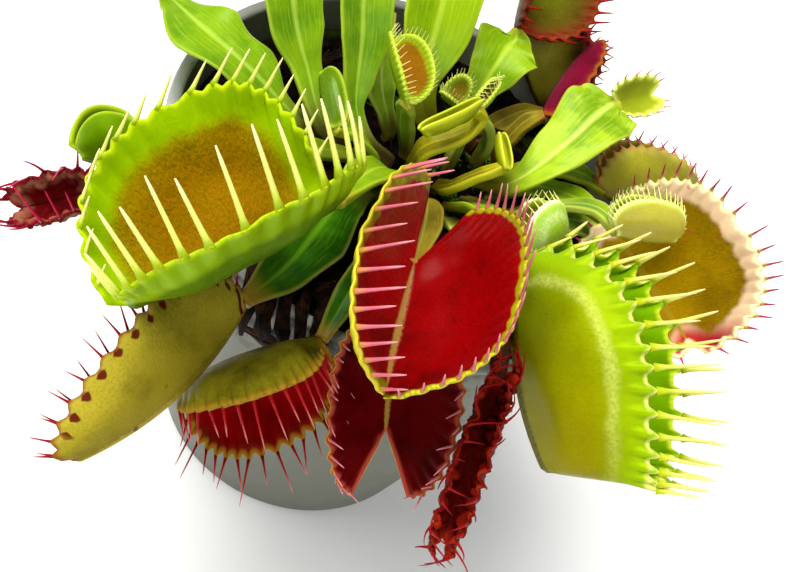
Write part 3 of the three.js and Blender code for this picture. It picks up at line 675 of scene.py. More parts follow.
class Mould:
    """Collects closed shells in one bmesh and turns them into a piece."""

    def __init__(self, tube: bpy.types.Mesh | None = None) -> None:
        """Starts an empty mesh with the map layer.

        Args:
            tube: A straight tube from nought to one on the Z axis, which spikes are bent from.
        """
        self.tube = tube
        self.bm = bmesh.new()
        self.place = self.bm.verts.layers.float_vector.new("place")
        self.number = self.bm.verts.layers.int.new("number")

    def shell(self, front: np.ndarray, back: np.ndarray, place: np.ndarray,
              slots: tuple[int, int, int]) -> None:
        """A closed sheet between two grids of points.

        Args:
            front: Points of the upper face, rows by columns, in millimetres.
            back: Points of the lower face.
            place: The map values of the same points.
            slots: Material slots of the front, the back and the rim.
        """
        rows, cols = front.shape[:2]
        made = bmesh.ops.create_grid(self.bm, x_segments=cols - 1, y_segments=rows - 1, size=1.0)["verts"]
        faces = list(dict.fromkeys(f for v in made for f in v.link_faces))
        for v in made:
            col = round((v.co.x + 1) / 2 * (cols - 1))
            row = round((v.co.y + 1) / 2 * (rows - 1))
            v[self.number] = row * cols + col
            v[self.place] = place[row, col]
            v.co = front[row, col]
        grown = bmesh.ops.extrude_face_region(self.bm, geom=faces, use_keep_orig=True)["geom"]
        low = dict.fromkeys(g for g in grown if isinstance(g, bmesh.types.BMVert))
        every = dict.fromkeys(faces)
        for v in low:
            v.co = back[divmod(v[self.number], cols)]
            every.update(dict.fromkeys(v.link_faces))
        for f in every:
            under = sum(v in low for v in f.verts)
            f.material_index = slots[0] if under == 0 else slots[1] if under == len(f.verts) else slots[2]
            f.smooth = True
        bmesh.ops.recalc_face_normals(self.bm, faces=list(every))

    def spike(self, centre: np.ndarray, frames: tuple[np.ndarray, np.ndarray],
              radii: tuple[np.ndarray, np.ndarray], slot: int, place: Point | None = None) -> None:
        """A tapered round hair along a short path.

        Args:
            centre: Path points, evenly spaced.
            frames: Two directions across the path.
            radii: The radius in each direction, for each path point.
            slot: Its material slot.
            place: Map values for all of it, instead of its own length.
        """
        start, first = len(self.bm.verts), len(self.bm.faces)
        self.bm.from_mesh(self.tube)
        self.bm.verts.ensure_lookup_table()
        self.bm.faces.ensure_lookup_table()
        last = len(centre) - 1
        sizes = np.stack(radii, -1)
        for v in self.bm.verts[start:]:
            t = min(max(v.co.z, 0.0), 1.0)
            k = min(int(t * last), last - 1)
            f = t * last - k
            c = centre[k] * (1 - f) + centre[k + 1] * f
            r = sizes[k] * (1 - f) + sizes[k + 1] * f
            v[self.place] = place or (t, 0.0, 0.0)
            v.co = c + frames[0] * (v.co.x * r[0]) + frames[1] * (v.co.y * r[1])
        for f in self.bm.faces[first:]:
            f.material_index = slot
            f.smooth = True

    def turn(self, profile: list[tuple[float, float]], steps: int) -> None:
        """Turns a profile once round the Z axis.

        Args:
            profile: Radius and height of its points, in millimetres.
            steps: Parts round the axis.
        """
        line = [self.bm.verts.new((r, 0, z)) for r, z in profile]
        edges = [self.bm.edges.new(pair) for pair in zip(line, line[1:])]
        bmesh.ops.spin(self.bm, geom=line + edges, cent=(0, 0, 0), axis=(0, 0, 1), angle=2 * math.pi,
                       steps=steps, use_merge=True, use_duplicate=False)
        bmesh.ops.remove_doubles(self.bm, verts=self.bm.verts, dist=1e-4)
        bmesh.ops.recalc_face_normals(self.bm, faces=self.bm.faces)

    def piece(self, name: str, materials: list[Material]) -> bpy.types.Object:
        """Turns the mould into an object, in metres.

        Args:
            name: The object's name.
            materials: Its materials in slot order.

        Returns:
            The object.
        """
        bmesh.ops.scale(self.bm, vec=(MM, MM, MM), verts=self.bm.verts)
        mesh = bpy.data.meshes.new(name)
        self.bm.verts.layers.int.remove(self.number)
        self.bm.to_mesh(mesh)
        self.bm.free()
        for material in materials:
            mesh.materials.append(material)
        made = bpy.data.objects.new(name, mesh)
        bpy.context.scene.collection.objects.link(made)
        return made


def make_tube() -> bpy.types.Mesh:
    """A straight closed tube of radius one from nought to one on the Z axis.

    Returns:
        The mesh.
    """
    bm = bmesh.new()
    bmesh.ops.create_cone(bm, cap_ends=True, segments=TUBE_SIDES, radius1=1.0, radius2=1.0, depth=1.0)
    upright = [e for e in bm.edges if abs(e.verts[0].co.z - e.verts[1].co.z) > 0.5]
    bmesh.ops.subdivide_edges(bm, edges=upright, cuts=TUBE_RINGS - 1, use_grid_fill=True)
    bmesh.ops.translate(bm, vec=(0, 0, 0.5), verts=bm.verts)
    bmesh.ops.recalc_face_normals(bm, faces=bm.faces)
    mesh = bpy.data.meshes.new("tube")
    bm.to_mesh(mesh)
    bm.free()
    return mesh


@dataclass(frozen=True)
class Stalk:
    """A winged leaf stalk.

    Attributes:
        root: Where it leaves the peat.
        points: The rest of its middle line, each with half the width there.
        fold: How far the wings rise.
        turn: Degrees that it twists.
        ruffle: Height of the waves along its edges, in millimetres.
        waves: Number of the waves.
    """

    root: tuple[float, float]
    points: list[tuple[float, float, float, float]]
    fold: float = 0.3
    turn: float = 0.0
    ruffle: float = 0.25
    waves: float = 3.0

    def stations(self) -> list[tuple[np.ndarray, np.ndarray, float, float]]:
        """Where the stalk is cut across, from inside the peat to the trap.

        Returns:
            The middle, the direction, half the width and the share of the way at each cut.
        """
        path = [(*self.root, ROOT_HEIGHT)] + [p[:3] for p in self.points]
        widths = [ROOT_HALF] + [p[3] for p in self.points]
        curve = Curve(path)
        up = np.array([0.0, 0.0, 1.0])
        steps = SPAN_STEPS * (len(path) - 1)
        cuts = [(np.array(path[0], float) - up * BURIED, up, widths[0] * 0.8, 0.0)]
        for t in (i / steps for i in range(steps + 1)):
            f = t * (len(path) - 1)
            k = min(int(f), len(path) - 2)
            g = f - k
            g = g * g * (3 - 2 * g) * 0.5 + g * 0.5
            cuts.append((curve.at(t), curve.heading(t), widths[k] * (1 - g) + widths[k + 1] * g, t))
        return cuts

    def build(self, mould: Mould, seed: int) -> None:
        """Adds the stalk: thin wings, a keel below and a groove above.

        Args:
            mould: Where it goes.
            seed: Start of its own unevenness.
        """
        heading = np.array([*self.points[-1][:2], 0.0]) - np.array([*self.root, 0.0])
        level = unit(np.cross(unit(heading), (0, 0, 1)))
        across = np.sin(np.linspace(-1, 1, WING_COLUMNS) * math.pi / 2)
        round_off = np.sqrt(np.clip(1 - np.abs(across) ** 8, 0, 1)) * 0.75 + 0.25
        front, back, place = [], [], []
        for centre, tangent, half, t in self.stations():
            side = unit(level - tangent * level.dot(tangent))
            a = math.radians(self.turn * math.sin(math.pi / 2 * t))
            side = side * math.cos(a) + np.cross(tangent, side) * math.sin(a)
            normal = unit(np.cross(side, tangent))
            spread = max(0.0, half - NECK) / (half + 0.01)
            lift = self.fold * half * spread * np.abs(across) ** 1.3
            phase = self.waves * 2 * math.pi * t
            wave = self.ruffle * spread * np.abs(across) ** 3
            wave = wave * np.sin(phase + np.sign(across) * 1.1 + seed)
            thick = (WING_EDGE + (MIDRIB - WING_EDGE) * (1 - spread) ** 0.8) * round_off
            keel = KEEL * spread * np.exp(-(across * half / KEEL_HALF) ** 2)
            groove = GROOVE * spread * np.exp(-(across * half / GROOVE_HALF) ** 2)
            middle = centre + np.outer(across * half, side) + np.outer(lift + wave, normal)
            front.append(middle + np.outer(thick - groove, normal))
            back.append(middle - np.outer(thick + keel, normal))
            place.append(np.stack([np.full(WING_COLUMNS, t), across, half * (1 - np.abs(across))], -1))
        mould.shell(np.array(front), np.array(back), np.array(place), (Slot.STALK, Slot.STALK, Slot.STALK))


@dataclass(frozen=True)
class Lobe:
    """What one lobe has of its own.

    Attributes:
        width: From the hinge to the margin.
        teeth: How many teeth.
        tooth: Length of the longest, in millimetres.
        hook: Degrees that they turn in over the mouth.
        curl: Further bend along each tooth, in degrees.
        radius: Half the thickness of a tooth at its root.
        blunt: Thickness of a tooth's end as a share of its root.
        scallop: Depth of the margin's waves between teeth.
        over: How far its margin runs on past the hinge's ends, as shares of the hinge's length.
        ends: Its width at the hinge's ends, as shares of its own width.
        power: How square its outline is; two is an ellipse.
        skew: How far its widest place lies towards the tip, as a share of the hinge's length.
        aim: A direction that the teeth take instead of their own, if any.
        aim_share: How much of it they take.
        fan: How far the teeth spread apart towards both ends of the row.
        strip: Width of its coloured strip as a share of the skin's.
        crest: How narrow the margin's crests are.
        wild: How unevenly the teeth point.
    """

    width: float
    teeth: int = 14
    tooth: float = 4.0
    hook: float = 20.0
    curl: float = 12.0
    radius: float = 0.3
    blunt: float = 0.4
    scallop: float = 0.35
    over: tuple[float, float] = (0.16, 0.12)
    ends: tuple[float, float] = (0.4, 0.35)
    power: float = 2.2
    skew: float = 0.0
    aim: Point = (0.0, 0.0, 0.0)
    aim_share: float = 0.0
    fan: float = 0.0
    strip: float = 1.0
    crest: float = 2.5
    wild: float = 1.0

    def outline(self, length: float, u: np.ndarray) -> np.ndarray:
        """The margin in the lobe's own plane, before its scallops.

        Args:
            length: The hinge's length.
            u: Shares of the way.

        Returns:
            Along and out, in millimetres.
        """
        c, s = np.cos(np.pi * u), np.maximum(np.sin(np.pi * u), 0)
        middle = length * (1 + self.over[1] - self.over[0]) / 2
        half = length * (1 + self.over[1] + self.over[0]) / 2
        x = middle - half * np.sign(c) * np.abs(c) ** (2 / self.power) + self.skew * length * s * s
        end = self.width * (self.ends[0] * (1 - u) + self.ends[1] * u)
        return np.stack([x, end + (self.width - end) * s ** (2 / self.power)], -1)

    def rise(self, plain: np.ndarray, u: np.ndarray) -> np.ndarray:
        """The scallops, which rise from the plain margin to each tooth.

        Args:
            plain: The margin before its scallops.
            u: Shares of the way.

        Returns:
            How far each point moves along and out.
        """
        tangent = unit(np.gradient(plain, axis=0))
        outward = np.stack([-tangent[:, 1], tangent[:, 0]], -1)
        peak = np.abs(np.cos(np.pi * self.teeth * (u - 0.5 / max(self.teeth, 1)))) ** self.crest
        height = self.scallop * (peak * 1.4 - 0.5) * ease(0.0, 0.04, u) * ease(0.0, 0.04, 1 - u)
        return outward * height[:, None]


@dataclass(frozen=True)
class Trap:
    """Two lobes on one hinge.

    Attributes:
        tip: Far end of the hinge.
        mouth: Where the mouth opens to.
        gape: Degrees that each lobe leans out.
        left: The first lobe.
        other: What the second lobe has otherwise.
        bulge: How far the lobes belly out, as a share of their width.
        arch: How far the hinge bows, as a share of its length.
        rows: Rows of faces in each lobe.
        lump: Height of low swellings, in millimetres.
        crumple: Height of sharp wrinkles, in millimetres.
        ribs: Height of the ribs that run to the teeth, in millimetres.
        hem: Whether the coloured strip goes on round the lobes' ends.
        triggers: Trigger hairs on each lobe.
    """

    tip: Point
    mouth: Point
    gape: float
    left: Lobe
    other: dict[str, object] = field(default_factory=dict)
    bulge: float = 0.12
    arch: float = 0.05
    rows: int = 14
    lump: float = 0.12
    crumple: float = 0.0
    ribs: float = 0.1
    hem: bool = True
    triggers: int = 0

    @property
    def lobes(self) -> tuple[Lobe, Lobe]:
        """The left and the right lobe."""
        return self.left, replace(self.left, **self.other)

    @property
    def spacing(self) -> np.ndarray:
        """Shares of the way from the hinge to the margin, closer near the margin."""
        return 1 - (1 - np.linspace(0, 1, self.rows + 1)) ** ROW_CROWDING

    def frame(self, base: np.ndarray) -> tuple[np.ndarray, np.ndarray, float, list[Pair]]:
        """Directions of the trap.

        Args:
            base: Near end of the hinge.

        Returns:
            Along the hinge, towards the mouth, the hinge's length, and each lobe's outward and back
            directions.
        """
        along = np.array(self.tip, float) - base
        length = float(np.linalg.norm(along))
        along = along / length
        mouth = np.array(self.mouth, float)
        mouth = unit(mouth - along * mouth.dot(along))
        across = unit(np.cross(mouth, along))
        c, s = math.cos(math.radians(self.gape)), math.sin(math.radians(self.gape))
        return along, mouth, length, [(mouth * c + across * side * s, across * side * c - mouth * s)
                                      for side in (-1, 1)]

    def surface(self, base: np.ndarray, number: int, u: np.ndarray, seed: int) -> np.ndarray:
        """The middle surface of one lobe.

        Args:
            base: Near end of the hinge.
            number: Nought for the left lobe, one for the right.
            u: Shares along the hinge.
            seed: Start of its unevenness.

        Returns:
            Points by share along and row, in millimetres.
        """
        along, mouth, length, sides = self.frame(base)
        out, back = sides[number]
        lobe = self.lobes[number]
        plain = lobe.outline(length, u)
        rise = lobe.rise(plain, u)
        v = self.spacing
        s = np.maximum(np.sin(np.pi * u), 0)
        near = ease(SCALLOPS_FROM, 1.0, v)
        x = np.outer(length * u, 1 - v) + np.outer(plain[:, 0], v) + np.outer(rise[:, 0], near)
        y = np.outer(plain[:, 1], v) + np.outer(rise[:, 1], near)
        lift = self.bulge * lobe.width * np.outer(s ** 0.6, np.sin(np.pi * v))
        beat = np.cos(2 * np.pi * lobe.teeth * (u - 0.5 / max(lobe.teeth, 1)))
        lift = lift + self.ribs * np.outer(beat, ease(RIBS_FROM, RIBS_FULL, v))
        t = 2 * x / length - 1
        arch = self.arch * length * (np.minimum(t * t, ARCH_LIMIT) - 1)
        points = (base + x[..., None] * along + y[..., None] * out + lift[..., None] * back
                  + arch[..., None] * mouth)
        if self.lump or self.crumple:
            shift = Vector((seed * 7.3, seed * 3.1, 0))
            for i, j in np.ndindex(points.shape[:2]):
                p = Vector(points[i, j]) * LUMPS_PER_MM + shift
                low = noise.noise(p) * self.lump * 2.2
                sharp = (0.5 - abs(noise.noise(p * WRINKLES_PER_LUMP))) * self.crumple * 2
                points[i, j] += back * ((low + sharp) * min(1.0, j / 3))
        return points

    def build(self, mould: Mould, base: np.ndarray, seed: int) -> None:
        """Adds both lobes and their teeth.

        Args:
            mould: Where they go.
            base: Near end of the hinge.
            seed: Start of the unevenness.
        """
        count = max(*(lobe.teeth for lobe in self.lobes), 8)
        u = np.linspace(0, 1, count * TOOTH_COLUMNS + 1)
        halves = [self.surface(base, 0, u, seed), self.surface(base, 1, u, seed + OTHER_LOBE_SEED)]
        middle = np.concatenate([halves[0][:, :0:-1], halves[1]], axis=1)
        normal = unit(np.cross(np.gradient(middle, axis=0), np.gradient(middle, axis=1)))
        normal *= np.sign((normal[:, self.rows] * self.frame(base)[1]).sum()) or 1.0
        v = self.spacing
        w = np.concatenate([-v[:0:-1], v])
        rim = np.sqrt(np.clip(1 - np.abs(w) ** 14, 0, 1)) * 0.7 + 0.3
        bead = BEAD * np.exp(-((np.abs(w) - BEAD_AT) / BEAD_HALF) ** 2)
        width = max(lobe.width for lobe in self.lobes)
        ridge = RIDGE * np.exp(-(w * width / RIDGE_HALF) ** 2)
        ends = (ease(0.0, 0.03, u) * ease(0.0, 0.03, 1 - u) * 0.6 + 0.4)[:, None]
        thick = min(LOBE_THICKEST, 0.022 * width + 0.16)
        front = middle + normal * (thick * ends * (rim + bead)[None, :])[..., None]
        back = middle - normal * (ends * (thick * (rim + bead) + ridge)[None, :])[..., None]
        mould.shell(front, back, self.map(middle, u, w), (Slot.INSIDE, Slot.BACK, Slot.BACK))
        rng = random.Random(seed)
        for number, points in enumerate(halves):
            self.add_teeth(mould, base, number, points, u, rng)
            self.add_triggers(mould, self.frame(base)[3][number][1], points)

    def map(self, middle: np.ndarray, u: np.ndarray, w: np.ndarray) -> np.ndarray:
        """Map values of the lobes' points.

        Args:
            middle: The middle surface of both lobes.
            u: Shares along the hinge.
            w: Shares across, below nought on the left lobe.

        Returns:
            Along the hinge, across, and millimetres to the nearest margin.
        """
        place = np.zeros(middle.shape)
        place[..., 0] = u[:, None]
        place[..., 1] = w[None, :]
        rows = self.rows
        for low, high, margin, lobe in zip((0, rows), (rows, 2 * rows + 1), (0, 2 * rows), self.lobes):
            part = middle[:, low:high]
            border = middle[::2, margin]
            if self.hem:
                border = np.concatenate([border, middle[0, low:high], middle[-1, low:high]])
            gaps = np.linalg.norm(part[:, :, None] - border[None, None], axis=-1)
            place[:, low:high, 2] = gaps.min(axis=-1) / lobe.strip
        return place

    def add_teeth(self, mould: Mould, base: np.ndarray, number: int, points: np.ndarray, u: np.ndarray,
                  rng: random.Random) -> None:
        """Adds one lobe's teeth.

        Args:
            mould: Where they go.
            base: Near end of the hinge.
            number: Which lobe.
            points: Its middle surface.
            u: Shares along the hinge.
            rng: Its unevenness.
        """
        along, _, _, sides = self.frame(base)
        back = sides[number][1]
        lobe = self.lobes[number]
        for share in ((k + 0.5) / lobe.teeth for k in range(lobe.teeth)):
            i = int(np.argmin(np.abs(u - share)))
            outward = unit(points[i, -1] - points[i, -3])
            beside = unit(points[min(i + 2, len(u) - 1), -1] - points[max(i - 2, 0), -1])
            size = 0.45 + 0.55 * math.sin(math.pi * share) ** 0.6
            reach = lobe.tooth * size * (0.97 + lobe.wild * rng.uniform(-0.11, 0.11))
            lean = math.radians(lobe.hook + lobe.wild * rng.uniform(-6, 6))
            slant = math.radians(lobe.wild * rng.uniform(-5, 5))
            spread = along * (math.tan(slant) + lobe.fan * (2 * share - 1))
            way = unit(outward * math.cos(lean) - back * math.sin(lean) + spread)
            if lobe.aim_share:
                aim = unit(np.array(lobe.aim))
                way = unit(way * (1 - lobe.aim_share) + aim * lobe.aim_share + spread * 0.5)
            bend = math.radians(lobe.curl + lobe.wild * rng.uniform(-5, 5))
            t = np.linspace(0, 1, TOOTH_STEPS + 1)
            path = (points[i, -1] - outward * TOOTH_SUNK + np.outer(t * (reach + TOOTH_SUNK), way)
                    - np.outer(t * t * reach * math.tan(bend) * 0.5, back))
            side = unit(np.cross(way, beside))
            taper = lobe.radius * (1 - (1 - lobe.blunt) * t ** 1.2) * (0.75 + 0.25 * size)
            taper[-1] *= 0.5
            flare = 1 + 0.9 * np.exp(-t * reach / TOOTH_FLARE)
            mould.spike(path, (unit(np.cross(side, way)), side), (taper * flare, taper), Slot.TOOTH)

    def add_triggers(self, mould: Mould, back: np.ndarray, points: np.ndarray) -> None:
        """Adds the short hairs on the inner face that spring the trap.

        Args:
            mould: Where they go.
            back: The lobe's back direction.
            points: Its middle surface.
        """
        n, m = points.shape[:2]
        t = np.linspace(0, 1, 5)
        side = unit(np.cross(back, (0.3, 0.4, 0.8)))
        taper = TRIGGER_RADIUS * (1 - 0.7 * t)
        for share, row in ((0.35, 0.5), (0.5, 0.34), (0.65, 0.5))[:self.triggers]:
            path = points[int(share * n), int(row * m)] + np.outer(t * TRIGGER_LENGTH, -back)
            mould.spike(path, (side, unit(np.cross(back, side))), (taper, taper), Slot.INSIDE, DEEP_INSIDE)


@dataclass
class Leaf:
    """One leaf of the plant.

    Attributes:
        node: The node that it replaces.
        finish: Its skins.
        stalk: Its stalk.
        trap: Its trap, if it has one.
    """

    node: str
    finish: LeafFinish
    stalk: Stalk
    trap: Trap | None = None

    def build(self, tube: bpy.types.Mesh, seed: int) -> bpy.types.Object:
        """Makes the leaf.

        Args:
            tube: The tube that a tooth is bent from.
            seed: Start of its unevenness.

        Returns:
            The piece.
        """
        mould = Mould(tube)
        self.stalk.build(mould, seed)
        if self.trap:
            self.trap.build(mould, np.array(self.stalk.points[-1][:3], float), seed)
        made = mould.piece(self.node.replace("leaf_", "") + "_leaf", self.dress())
        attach(made, "root")
        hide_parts(self.node)
        log.info("%s: %d faces", made.name, len(made.data.polygons))
        return made

    def dress(self) -> list[Material]:
        """The leaf's materials in slot order, each skin made once and shared.

        Returns:
            The materials.
        """
        for kind in Slot:
            skin = getattr(self.finish, kind.name.lower())
            if skin not in MADE:
                MADE[skin] = skin.make(self.node.replace("leaf_", "") + "_" + kind.name.lower())
        return [MADE[getattr(self.finish, kind.name.lower())] for kind in Slot]


MADE: dict[LobeSkin | StalkSkin | ToothSkin, Material] = {}

